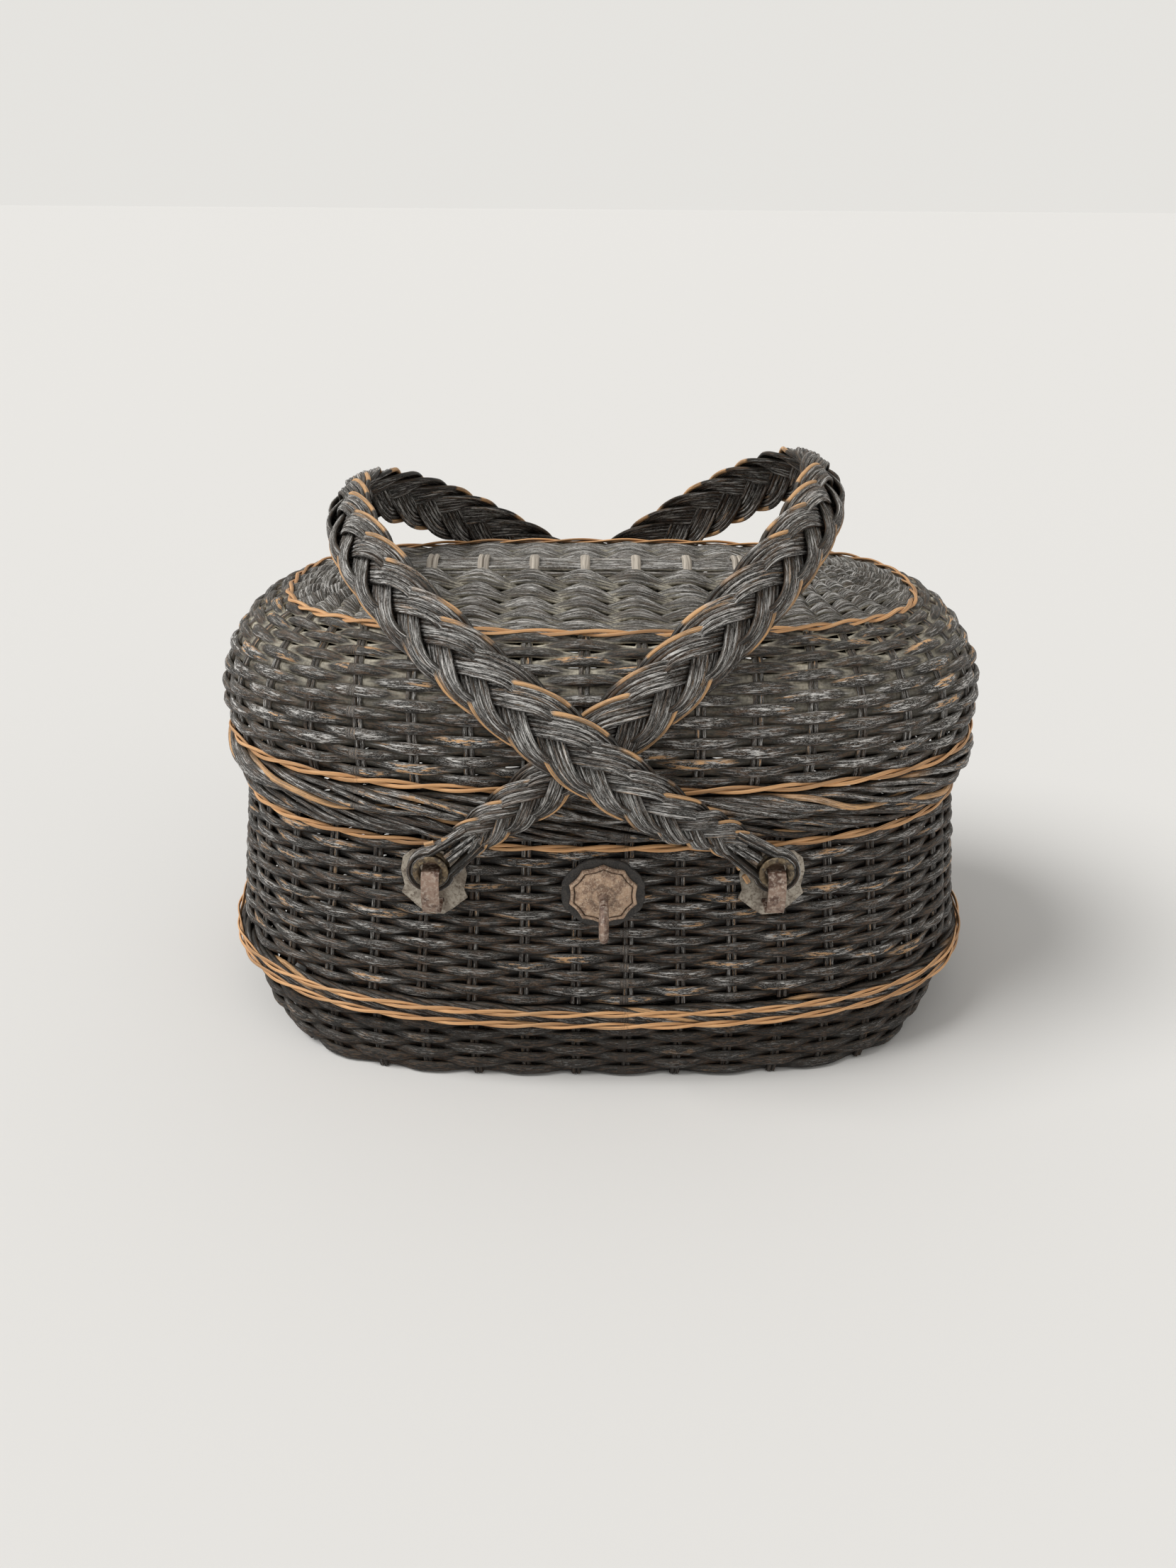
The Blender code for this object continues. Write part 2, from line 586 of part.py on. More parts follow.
def build_staple(x, side, name, iron):
    """A flat strap: out through the handle's eyelet, round, and back in, its tails turned inside."""
    nose_y = PIVOT_Y + END_THICK / 2 + FLANGE_THICK + STAPLE_NOSE
    in_high = inner_wall_y(x, PIVOT_Z) - SEAT - STAPLE_THICK / 2
    in_low = inner_wall_y(x, STAPLE_LOW_Z) - SEAT - STAPLE_THICK / 2
    lean = (WALL_LOW_HALF - WALL_HIGH_HALF) / (WALL_TOP_Z - WALL_LOW_Z)
    path = [(in_low + lean * STAPLE_TAIL, STAPLE_LOW_Z - STAPLE_TAIL), (in_low, STAPLE_LOW_Z)]
    for i in range(7):
        turn = math.pi * (i / 6 - 0.5)
        y = nose_y - STAPLE_NOSE + STAPLE_NOSE * math.cos(turn)
        z = PIVOT_Z - STAPLE_DROP / 2 + STAPLE_DROP / 2 * math.sin(turn)
        path.append((y, z))
    tail = min(STAPLE_TAIL, WALL_TOP_Z - PIVOT_Z)
    path += [(in_high, PIVOT_Z), (in_high - lean * tail, PIVOT_Z + tail)]
    outline = strip_outline([(side * y, z) for y, z in path], STAPLE_THICK)
    rings = [[(px, y, z) for y, z in outline] for px in (x - STAPLE_WIDTH / 2, x + STAPLE_WIDTH / 2)]
    return capped_stack("handle_staple_" + name, rings, iron)


def build_plate(x, side, name, cutters, pale_metal):
    """A thin sheet with two small lugs and a rounded lip, bent to the wall behind the staple."""
    top = PIVOT_Z - PLATE_DROP + PLATE_HEIGHT / 2
    half = PLATE_WIDTH / 2
    rings = []
    for off in (PLATE_STAND, PLATE_STAND + PLATE_THICK):
        ring = []
        for across, up in PLATE_CORNER_SHARES:
            px = x + half * across
            z = top - PLATE_HEIGHT / 2 + PLATE_HEIGHT / 2 * up
            z = min(z, WALL_TOP_Z - LINE_THICK * 2)
            ring.append((px, side * (wall_y(px, z) + off), z))
        rings.append(ring)
    plate = filled_sheet("staple_plate_" + name, rings, pale_metal)
    cut(plate, cutters)
    return plate


def filled_sheet(name, rings, look):
    """A thin bent sheet: its outline is cut in strips across so that it can follow the wall."""
    low, high = rings
    count = len(low)
    verts = low + high
    faces = [(i, (i + 1) % count, count + (i + 1) % count, count + i) for i in range(count)]
    pairs = [(0, 1), (15, 2), (14, 3), (13, 4), (12, 5), (11, 6), (10, 7), (9, 8)]
    for (a, b), (c, d) in zip(pairs, pairs[1:]):
        faces.append((a, b, d, c))
        faces.append((count + a, count + c, count + d, count + b))
    return add_object(name, verts, faces, look)


def oval_outline(half_x, half_z, count, scallops=0, share=0.0):
    ring = []
    for i in range(count):
        turn = 2 * math.pi * i / count
        r = 1 - share * abs(math.cos(turn * scallops / 2)) ** SCALLOP_POWER if scallops else 1
        ring.append((half_x * r * math.cos(turn), half_z * r * math.sin(turn)))
    return ring


def build_rosette(leather_look, iron):
    """A domed plate with a scalloped edge on its leather washer, both bored for the eye."""
    lean = (WALL_LOW_HALF - WALL_HIGH_HALF) / (WALL_TOP_Z - WALL_LOW_Z)
    face = -(wall_y(0.0, ROSETTE_Z) + SEAT)

    def placed(outline, off):
        return [(px, face - off + lean * z, ROSETTE_Z + z) for px, z in outline]

    count = ROSETTE_SCALLOPS * 4
    back_x, back_z = ROSETTE_HALF_WIDTH + LEATHER_MARGIN, ROSETTE_HALF_HEIGHT + LEATHER_MARGIN
    back = oval_outline(back_x, back_z, count // 2)
    leather = capped_stack("rosette_leather", [placed(back, 0.0), placed(back, LEATHER_THICK)], leather_look)
    seat = LEATHER_THICK + SEAT
    edge = oval_outline(ROSETTE_HALF_WIDTH, ROSETTE_HALF_HEIGHT, count, ROSETTE_SCALLOPS, SCALLOP_SHARE)
    rings = [placed(edge, seat), placed(edge, seat + ROSETTE_RIM)]
    for shrink, rise in ROSETTE_DOME_SHARES:
        inner = [(px * shrink, z * shrink) for px, z in edge]
        rings.append(placed(inner, seat + ROSETTE_RIM + ROSETTE_DOME * rise))
    rosette = capped_stack("rosette", rings, iron)
    return leather, rosette


def tube(name, centres, radius, sides, look, closed=False):
    """A round bar along a path in the YZ plane."""
    rings = []
    count = len(centres)
    for i, here in enumerate(centres):
        before = centres[(i - 1) % count] if closed else centres[max(i - 1, 0)]
        after = centres[(i + 1) % count] if closed else centres[min(i + 1, count - 1)]
        along = (Vector(after) - Vector(before)).normalized()
        out = Vector((0.0, -along.z, along.y))
        ring = []
        for k in range(sides):
            turn = 2 * math.pi * k / sides
            ring.append(Vector(here) + radius * (math.cos(turn) * out + math.sin(turn) * Vector((1, 0, 0))))
        rings.append(ring)
    return swept_ring(name, rings, look) if closed else capped_stack(name, rings, look)


def build_eye(iron, bored):
    """One bent bar: an open eye in front, its shank through the rosette, leather and wall."""
    face = -(wall_y(0.0, ROSETTE_Z) + SEAT + LEATHER_THICK + SEAT + ROSETTE_RIM + ROSETTE_DOME)
    inside = -(wall_y(0.0, ROSETTE_Z) - WALL_THICK) + 2 * EYE_BAR
    root = face - EYE_ROOT_SHARE * EYE_BAR
    middle_y = face - EYE_REACH + EYE_HALF_HEIGHT
    path = [(0.0, inside, ROSETTE_Z), (0.0, root, ROSETTE_Z)]
    drop = (middle_y - root) * math.tan(EYE_DROOP)
    centre = (middle_y, ROSETTE_Z + drop)
    start = math.atan2(ROSETTE_Z - centre[1], root - centre[0])
    reach_y, reach_z = abs(root - centre[0]) * EYE_WIDTH_SHARE, EYE_HALF_HEIGHT
    for i in range(1, 13):
        turn = start + 2 * math.pi * EYE_TURN_SHARE * i / 12
        path.append((0.0, centre[0] + reach_y * math.cos(turn), centre[1] + reach_z * math.sin(turn)))
    eye = tube("rosette_eye", path, EYE_BAR, 8, iron)
    ys = (inside + OVERRUN, face - OVERRUN)
    rings = []
    for y in ys:
        ring = []
        for k in range(8):
            turn = 2 * math.pi * k / 8
            r = EYE_BAR + SEAT
            ring.append((r * math.sin(turn), y, ROSETTE_Z + r * math.cos(turn)))
        rings.append(ring)
    verts = rings[0] + rings[1]
    faces = [tuple(range(8)), tuple(range(8, 16))] + [(j, (j + 1) % 8, 8 + (j + 1) % 8, 8 + j) for j in range(8)]
    bore = add_cutter("bore_eye", verts, faces)
    for thing in bored:
        cut(thing, [bore])
    return eye


class Bail:
    """The centre line of one handle in its own plane: w away from the hinge, y across the basket."""

    def __init__(self, leg_y, reach):
        self.leg_y, self.reach = leg_y, reach
        w, y = [], []
        for t in np.linspace(0, 1, 80):
            w.append(NECK_REACH + (CROWN_START - NECK_REACH) * t)
            flare = min(1.0, (w[-1] - NECK_REACH) / (FLARE_END - NECK_REACH))
            y.append(PIVOT_Y + (leg_y - PIVOT_Y) * flare * flare * (3 - 2 * flare))
        for t in np.linspace(0, math.pi / 2, 200)[1:]:
            w.append(CROWN_START + (reach - CROWN_START) * math.sin(t) ** (2 / CROWN_POWER))
            y.append(leg_y * max(math.cos(t), 0.0) ** (2 / CROWN_POWER))
        w, y = np.array(w), -np.array(y)
        y[-1] = 0.0
        self.w = np.concatenate([w, w[-2::-1]])
        self.y = np.concatenate([y, -y[-2::-1]])
        self.run = np.concatenate([[0], np.cumsum(np.hypot(np.diff(self.w), np.diff(self.y)))])
        self.length = self.run[-1]

    def point(self, s):
        return float(np.interp(s, self.run, self.w)), float(np.interp(s, self.run, self.y))

    def frame(self, s):
        """Place and outward direction on the centre line."""
        step = self.length / 400
        w1, y1 = self.point(max(s - step, 0.0))
        w2, y2 = self.point(min(s + step, self.length))
        size = math.hypot(w2 - w1, y2 - y1)
        along = ((w2 - w1) / size, (y2 - y1) / size)
        w, y = self.point(s)
        return w, y, (along[1], -along[0])

    def scale(self, s):
        """The plait is full in the middle and thins towards both ends."""
        share = min(1.0, min(s, self.length - s) / TAPER_LENGTH)
        return TAPER_END_SHARE + (1 - TAPER_END_SHARE) * math.sin(share * math.pi / 2)


def strand_stations(bail):
    """Places along the plait at even steps of its turning."""
    fine = np.linspace(0, bail.length, 800)
    rate = np.array([2 * math.pi / (STRAND_CYCLE * bail.scale(s)) for s in fine])
    turn = np.concatenate([[0], np.cumsum((rate[1:] + rate[:-1]) / 2 * np.diff(fine))])
    count = round(turn[-1] / (2 * math.pi) * STRAND_STEPS)
    turns = np.linspace(0, turn[-1], count + 1)
    return np.interp(turns, turn, fine), turns


def build_strand(bail, number, name, look, parent):
    """One of three flat strands: out to one edge and back to the other, over one and under one."""
    stations, turns = strand_stations(bail)
    shift = PLAIT_LEAD + 2 * math.pi * number / 3
    centres, outs, sizes = [], [], []
    for s, turn in zip(stations, turns):
        w, y, out = bail.frame(s)
        k = bail.scale(s)
        phase = turn + shift
        side = PLAIT_SWING * k * math.sin(phase)
        rise = -PLAIT_RISE * k * math.sin(2 * phase)
        centres.append(Vector((w + rise * out[0], y + rise * out[1], side)))
        outs.append(Vector((out[0], out[1], 0.0)))
        sizes.append(k)
    rings = []
    for i, here in enumerate(centres):
        along = (centres[min(i + 1, len(centres) - 1)] - centres[max(i - 1, 0)]).normalized()
        if i in (0, len(centres) - 1):
            along = Vector((0, 0, 1)).cross(outs[i]).normalized() * -1
        wide = along.cross(outs[i]).normalized()
        thick = wide.cross(along).normalized()
        ring = []
        for across, up in STRAND_SECTION_SHARES:
            ring.append(here + sizes[i] * (STRAND_HALF_WIDTH * across * wide + STRAND_HALF_THICK * up * thick))
        rings.append(ring)
    thing = capped_stack(name, rings, look, sharp=70)
    thing.parent = parent
    return thing


def build_end_loop(name, side, look, parent):
    """The strands' ends wrap round the eyelet: a ring with a short neck."""
    count = 20
    outer, inner = [], []
    for i in range(count):
        turn = 2 * math.pi * (i + 0.5) / count
        w, z = END_RADIUS * math.cos(turn), END_RADIUS * math.sin(turn)
        if w > 0 and abs(z) < NECK_HALF:
            w = NECK_REACH - SEAT
        elif w > 0:
            w = max(w, (NECK_REACH - SEAT) * (END_RADIUS - abs(z)) / (END_RADIUS - NECK_HALF) * NECK_DRAW_SHARE)
        outer.append((w, z))
        bore = EYELET_BARREL + SEAT
        inner.append((bore * math.cos(turn), bore * math.sin(turn)))
    verts = []
    for ring in (outer, inner):
        for off in (-END_THICK / 2, END_THICK / 2):
            verts += [(w, side * PIVOT_Y + off, z) for w, z in ring]
    faces = []
    for i in range(count):
        j = (i + 1) % count
        faces.append((i, j, count + j, count + i))
        faces.append((2 * count + i, 2 * count + j, 3 * count + j, 3 * count + i))
        faces.append((i, j, 2 * count + j, 2 * count + i))
        faces.append((count + i, count + j, 3 * count + j, 3 * count + i))
    return add_object(name, verts, faces, look, parent)


def build_eyelet(name, side, brass, parent):
    """A spool of brass: a barrel through the loop with a flange on each face."""
    face = END_THICK / 2 + SEAT
    rim = face + FLANGE_THICK
    profile = [(EYELET_BORE, -rim), (EYELET_FLANGE, -rim), (EYELET_FLANGE, -face), (EYELET_BARREL, -face)]
    profile += [(EYELET_BARREL, face), (EYELET_FLANGE, face), (EYELET_FLANGE, rim), (EYELET_BORE, rim)]
    count = 12
    verts, faces = [], []
    for r, y in profile:
        for i in range(count):
            turn = 2 * math.pi * i / count
            verts.append((r * math.cos(turn), side * PIVOT_Y + y, r * math.sin(turn)))
    for p in range(len(profile)):
        a, b = p * count, (p + 1) % len(profile) * count
        for i in range(count):
            j = (i + 1) % count
            faces.append((a + i, a + j, b + j, b + i))
    return add_object(name, verts, faces, brass, parent)


def build_handle(label, x, angle, leg_y, reach, wicker, brass):
    """A handle's pieces hang on an empty at the hinge, turned to the angle at which it leans."""
    hinge = bpy.data.objects.new("hinge_" + label, None)
    bpy.context.collection.objects.link(hinge)
    hinge.location = (x, 0.0, PIVOT_Z)
    hinge.rotation_euler = (0.0, -angle, 0.0)
    bail = Bail(leg_y, reach)
    for number in range(3):
        build_strand(bail, number, "handle_%s_strand_%d" % (label, number + 1), wicker, hinge)
    for side, end in ((-1, "front"), (1, "back")):
        build_end_loop("handle_%s_loop_%s" % (label, end), side, wicker, hinge)
        build_eyelet("handle_%s_eyelet_%s" % (label, end), side, brass, hinge)


def build_ironwork(wall, iron, pale_metal):
    for side, end in ((-1, "front"), (1, "back")):
        for x, hand in ((-PIVOT_X, "left"), (PIVOT_X, "right")):
            name = end + "_" + hand
            cutters = staple_cutters(x, side, name)
            cut(wall, cutters)
            build_staple(x, side, name, iron)
            build_plate(x, side, name, cutters, pale_metal)


def build():
    clear_scene()
    stained = material("Stained willow", (0.035, 0.032, 0.030), 0.72)
    natural = material("Natural willow", (0.50, 0.27, 0.12), 0.6)
    pale = material("Dusty willow", (0.26, 0.23, 0.19), 0.8)
    leather = material("Black leather", (0.012, 0.011, 0.011), 0.6)
    brass = material("Dull brass", (0.30, 0.21, 0.09), 0.5, 0.8)
    iron = material("Rusted iron", (0.12, 0.075, 0.06), 0.75, 0.4)
    pale_metal = material("Pale sheet metal", (0.45, 0.44, 0.40), 0.6, 0.6)
    build_floor_and_foot(stained)
    build_band(stained, natural)
    wall = build_wall(stained, natural)
    build_borders(stained)
    build_lid(stained, natural)
    build_slath(stained, pale)
    build_ironwork(wall, iron, pale_metal)
    backing, rosette = build_rosette(leather, iron)
    build_eye(iron, (wall, backing, rosette))
    build_handle("right", PIVOT_X, math.pi - OUTER_TILT, OUTER_LEG_Y, OUTER_REACH, stained, brass)
    build_handle("left", -PIVOT_X, INNER_TILT, INNER_LEG_Y, INNER_REACH, stained, brass)
    bpy.context.view_layer.update()


build()
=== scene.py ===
# %% [markdown]
# # A wicker market basket with two plaited handles
#
# This notebook dresses a plain solid model of an old black-stained wicker basket. The real
# thing is woven from willow rods: upright stakes, thin rods that pass in front of one stake
# and behind the next, twisted natural rods that mark the borders, and two handles plaited
# from five flat strands each. None of that needs a picture pasted on it. Every rod is a
# thin tube that follows a line which we can write down, so the weave is made as real mesh,
# and the materials only add what is smaller than a rod: fibre, stain, wear and dust, with
# some painted shade where rods lie deep and painted highlight on their upper sides.

# %% Load the imported frame
import math

import bmesh
import bpy
import numpy as np
from mathutils import Matrix, Vector


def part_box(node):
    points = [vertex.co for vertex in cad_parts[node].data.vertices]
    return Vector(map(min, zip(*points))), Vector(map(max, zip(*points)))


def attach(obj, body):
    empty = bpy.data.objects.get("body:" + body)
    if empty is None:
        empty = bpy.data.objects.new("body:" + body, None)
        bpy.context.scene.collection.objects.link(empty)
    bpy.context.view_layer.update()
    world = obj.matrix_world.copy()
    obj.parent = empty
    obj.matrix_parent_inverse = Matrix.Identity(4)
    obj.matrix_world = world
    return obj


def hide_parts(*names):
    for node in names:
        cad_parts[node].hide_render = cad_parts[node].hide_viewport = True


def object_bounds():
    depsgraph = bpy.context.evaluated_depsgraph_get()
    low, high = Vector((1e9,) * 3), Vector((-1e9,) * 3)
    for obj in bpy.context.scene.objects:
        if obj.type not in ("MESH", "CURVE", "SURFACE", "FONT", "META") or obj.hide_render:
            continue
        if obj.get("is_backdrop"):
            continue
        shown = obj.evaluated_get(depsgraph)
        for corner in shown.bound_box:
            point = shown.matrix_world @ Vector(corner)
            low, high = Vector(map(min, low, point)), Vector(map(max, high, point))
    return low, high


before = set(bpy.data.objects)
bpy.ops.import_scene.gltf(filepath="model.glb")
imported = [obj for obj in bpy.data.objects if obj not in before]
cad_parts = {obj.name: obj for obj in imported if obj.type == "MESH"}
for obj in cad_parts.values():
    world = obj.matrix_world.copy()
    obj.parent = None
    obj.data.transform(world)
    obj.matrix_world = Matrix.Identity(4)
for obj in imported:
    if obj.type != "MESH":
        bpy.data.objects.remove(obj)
cad_low, cad_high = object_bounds()
MM = 0.001


def put_in_scene(name, data):
    """Makes an object of a mesh, a lamp or a camera, and puts it in the scene."""
    thing = bpy.data.objects.new(name, data)
    bpy.context.scene.collection.objects.link(thing)
    return thing


def middle_z(node):
    """The height of the middle of a solid node."""
    low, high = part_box(node)
    return (low.z + high.z) / 2


# %% [markdown]
# ## Camera
#
# The photograph was taken from a little above the lid, close to the basket, so near things
# look larger than far ones. A camera is a place, a direction and a lens. The numbers here
# were fitted by laying the solid model over the photograph until the edges met.

# %% Camera
CAMERA_PLACE = (-9.8 * MM, -509.7 * MM, 339.2 * MM)
CAMERA_DOWN, CAMERA_YAW, CAMERA_ROLL = 0.45622, -0.00838, 0.00686
LENS = 27.28


def camera_axes():
    """Right, up and forward directions of the fitted view."""
    sp, cp = math.sin(CAMERA_DOWN), math.cos(CAMERA_DOWN)
    tilt = np.array([[1, 0, 0], [0, sp, cp], [0, cp, -sp]])
    sy, cy = math.sin(CAMERA_YAW), math.cos(CAMERA_YAW)
    yaw = np.array([[cy, sy, 0], [-sy, cy, 0], [0, 0, 1]])
    sr, cr = math.sin(CAMERA_ROLL), math.cos(CAMERA_ROLL)
    roll = np.array([[cr, sr, 0], [-sr, cr, 0], [0, 0, 1]])
    return roll @ tilt @ yaw


right, up, forward = (Vector(row) for row in camera_axes())
camera = put_in_scene("photo_camera", bpy.data.cameras.new("photo_camera"))
camera.data.lens = LENS
turn = Matrix((right, up, -forward)).transposed()
camera.matrix_world = Matrix.Translation(CAMERA_PLACE) @ turn.to_4x4()
bpy.context.scene.camera = camera
bpy.context.scene.view_settings.view_transform = "Standard"

# %% [markdown]
# ## Small node tools
#
# A material is a graph of nodes, and the same few steps come back in every graph: add a
# node, set its values, link it. A few helpers keep that short, so the recipes below read
# like recipes. Effects that several finishes share become node groups with named sockets.


# %% Node tools
def send(tree, node, values):
    """Links each value to the node's input of that name or number, or sets it there."""
    for key, value in values.items():
        if isinstance(value, bpy.types.NodeSocket):
            tree.links.new(value, node.inputs[key])
        else:
            node.inputs[key].default_value = value


def add_node(tree, kind, inputs=None, **settings):
    """Adds a node, sets its properties and gives it its inputs."""
    node = tree.nodes.new("ShaderNode" + kind)
    for key, value in settings.items():
        setattr(node, key, value)
    send(tree, node, inputs or {})
    return node


def maths(tree, operation, a, b, clamp=False):
    return add_node(tree, "Math", {0: a, 1: b}, operation=operation, use_clamp=clamp).outputs[0]


def product(tree, *values):
    """All the values multiplied together."""
    total = values[0]
    for value in values[1:]:
        total = maths(tree, "MULTIPLY", total, value)
    return total


def spread(tree, value, low, high, to_low=0.0, to_high=1.0):
    """Stretches low..high of a value to to_low..to_high, and holds it there outside."""
    inputs = {"Value": value, "From Min": low, "From Max": high}
    inputs |= {"To Min": to_low, "To Max": to_high}
    return add_node(tree, "MapRange", inputs, interpolation_type="SMOOTHSTEP").outputs[0]


def noise(tree, where, scale, detail, roughness=0.5):
    """A cloudy pattern from 0 to 1."""
    inputs = {"Vector": where, "Scale": scale, "Detail": detail, "Roughness": roughness}
    return add_node(tree, "TexNoise", inputs).outputs[0]


def height_of(tree, place):
    return add_node(tree, "SeparateXYZ", {"Vector": place}).outputs["Z"]


def blend_colours(tree, share, first, second):
    """Mixes two colours, each of them a socket or three numbers."""
    first, second = ((*c, 1) if isinstance(c, tuple) else c for c in (first, second))
    return add_node(tree, "Mix", {0: share, 6: first, 7: second}, data_type="RGBA").outputs[2]


def bump(tree, strength, distance, height):
    inputs = {"Strength": strength, "Distance": distance, "Height": height}
    return add_node(tree, "Bump", inputs).outputs[0]


def attribute(tree, name, output="Fac"):
    """A value that the mesh carries at each of its points."""
    node = add_node(tree, "Attribute", attribute_name=name, attribute_type="GEOMETRY")
    return node.outputs[output]


def group(name, inputs, outputs):
    """A new node group: its tree, its named inputs and the node that takes its outputs.
    Every socket is a number, but an input with the default None is a vector."""
    made = bpy.data.node_groups.new(name, "ShaderNodeTree")
    for label, default in inputs.items():
        kind = "NodeSocketVector" if default is None else "NodeSocketFloat"
        socket = made.interface.new_socket(name=label, in_out="INPUT", socket_type=kind)
        if default is not None:
            socket.default_value = default
    for label in outputs:
        made.interface.new_socket(name=label, in_out="OUTPUT", socket_type="NodeSocketFloat")
    return made, made.nodes.new("NodeGroupInput").outputs, made.nodes.new("NodeGroupOutput")


def new_material(name):
    """A material with its tree and its Principled shader."""
    made = bpy.data.materials.new(name)
    made.use_nodes = True
    return made, made.node_tree, made.node_tree.nodes["Principled BSDF"]


# %% [markdown]
# ## Floor, backdrop and light
#
# A dark object needs a pale, quiet surrounding, or its outline is lost. The floor is a
# large plain sheet. To the camera and in reflections the world is a pale grey, but it
# lights the basket with less than that, so that a colour renders about as it is written.
# One broad light from the upper left stands for a window, and a much weaker one fills the
# right side.

# %% Floor, backdrop and lamps
FLOOR_COLOUR, FLOOR_ROUGHNESS, FLOOR_HALF = (0.80, 0.795, 0.78), 0.9, 60.0
FLOOR_BELOW = 0.3 * MM
BACKDROP = (0.785, 0.772, 0.742)
AMBIENT_COLOUR, AMBIENT = (1.0, 0.985, 0.96), 0.45

floor_mesh = bpy.data.meshes.new("floor")
corners = [(x * FLOOR_HALF, y * FLOOR_HALF, 0) for x, y in ((-1, -1), (1, -1), (1, 1), (-1, 1))]
floor_mesh.from_pydata(corners, [], [(0, 1, 2, 3)])
pale_floor, tree, shader = new_material("Pale floor")
send(tree, shader, {"Base Color": (*FLOOR_COLOUR, 1), "Roughness": FLOOR_ROUGHNESS})
floor_mesh.materials.append(pale_floor)
floor = put_in_scene("floor", floor_mesh)
floor.location.z = -FLOOR_BELOW
floor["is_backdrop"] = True

world = bpy.data.worlds.new("studio")
bpy.context.scene.world = world
world.use_nodes = True
tree = world.node_tree
tree.nodes.clear()
rays = add_node(tree, "LightPath").outputs
shown = rays["Is Camera Ray"]
for kind in ("Is Glossy Ray", "Is Transmission Ray"):
    shown = maths(tree, "MAXIMUM", shown, rays[kind])
ambient = add_node(tree, "Background", {"Color": (*AMBIENT_COLOUR, 1), "Strength": AMBIENT})
seen = add_node(tree, "Background", {"Color": (*BACKDROP, 1)})
mix = add_node(tree, "MixShader", {0: shown, 1: ambient.outputs[0], 2: seen.outputs[0]})
add_node(tree, "OutputWorld", {"Surface": mix.outputs[0]})


def sunlight(name, towards, strength, softness, colour):
    """A broad, even light that comes from the direction given."""
    thing = put_in_scene(name, bpy.data.lights.new(name, "SUN"))
    thing.data.energy = strength
    thing.data.angle = math.radians(softness)
    thing.data.color = colour
    thing.rotation_mode = "QUATERNION"
    thing.rotation_quaternion = (-Vector(towards)).to_track_quat("-Z", "Y")


sunlight("window", (-0.78, -0.2, 1.0), 2.1, 30, (1.0, 0.99, 0.975))
sunlight("fill", (0.9, -0.9, 0.6), 0.25, 60, (1.0, 0.95, 0.88))

# %% [markdown]
# ## A collector of rods
#
# The basket holds several hundred rods. One object for each would be slow, so a small
# class collects rods and turns them into one mesh. Every rod is a tube with an oval
# section. Each point also remembers where it lies on its rod, how much it faced upwards and
# how deep in the weave it sits; the side of a rod turned inwards counts as deep too, and so
# do both edges of a rod that is seen from two sides. Materials read these values, so that
# the fibre runs along each rod and the dust lies where dust settles, whatever way a handle
# is turned later. The stained finishes also use them for painted shade in the deep places
# and a painted highlight on the upper side of each rod.

# %% Curves and meshes
UP = np.array([0.0, 0.0, 1.0])


def smooth_noise(count, waves, seed, closed=True):
    """A soft random curve from -1 to 1: a few sine waves of random phase."""
    rng = np.random.default_rng(seed)
    t = np.arange(count) / max(count - (0 if closed else 1), 1)
    total = np.zeros(count)
    for k in range(1, 5):
        cycles = max(1, round(waves * k / 2))
        total += np.sin(2 * np.pi * (cycles * t + rng.random())) / k
    return total / 2.1


def unit(v):
    return v / np.maximum(np.linalg.norm(v, axis=-1, keepdims=True), 1e-12)


def path(x, y, z):
    """Points from three rows of numbers. One number alone stands for a whole row."""
    return np.stack(np.broadcast_arrays(x, y, z), axis=1)


def distances(points):
    """How far along its line each point lies."""
    return np.concatenate([[0], np.cumsum(np.linalg.norm(np.diff(points, axis=0), axis=1))])


def quads(rows, columns, closed, first=0):
    """Four-sided faces between rows of points. Each row is a loop, and if closed is true
    the last row also meets the first."""
    here = first + np.arange(rows * columns).reshape(rows, columns)
    follow = np.roll(here, -1, 0)
    if not closed:
        here, follow = here[:-1], follow[:-1]
    corners = (here, np.roll(here, -1, 1), np.roll(follow, -1, 1), follow)
    return [tuple(face) for face in np.stack(corners, -1).reshape(-1, 4).tolist()]


def mesh_piece(name, verts, faces, material, body, nodes, sharp, **values):
    """A smooth mesh with edges sharp from an angle in degrees, and values at its points.
    It rides on its body and stands for its nodes."""
    mesh = bpy.data.meshes.new(name)
    mesh.from_pydata(verts, [], faces)
    made = bmesh.new()
    made.from_mesh(mesh)
    bmesh.ops.recalc_face_normals(made, faces=made.faces)
    made.to_mesh(mesh)
    made.free()
    mesh.shade_smooth()
    mesh.set_sharp_from_angle(angle=math.radians(sharp))
    for label, numbers in values.items():
        numbers = np.ascontiguousarray(numbers, np.float32)
        kind, field = ("FLOAT_VECTOR", "vector") if numbers.ndim == 2 else ("FLOAT", "value")
        mesh.attributes.new(label, kind, "POINT").data.foreach_set(field, numbers.ravel())
    mesh.materials.append(material)
    thing = put_in_scene(name, mesh)
    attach(thing, body)
    if nodes:
        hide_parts(*nodes)
    print("%s: %d faces" % (name, len(faces)))


# %% The collector of rods
SEED_STEP, SEED_SPAN = 7.3, 97  # metres between the fibre of one rod and the next
TONE_STEP = 0.61803
ROD_SHARP = 70


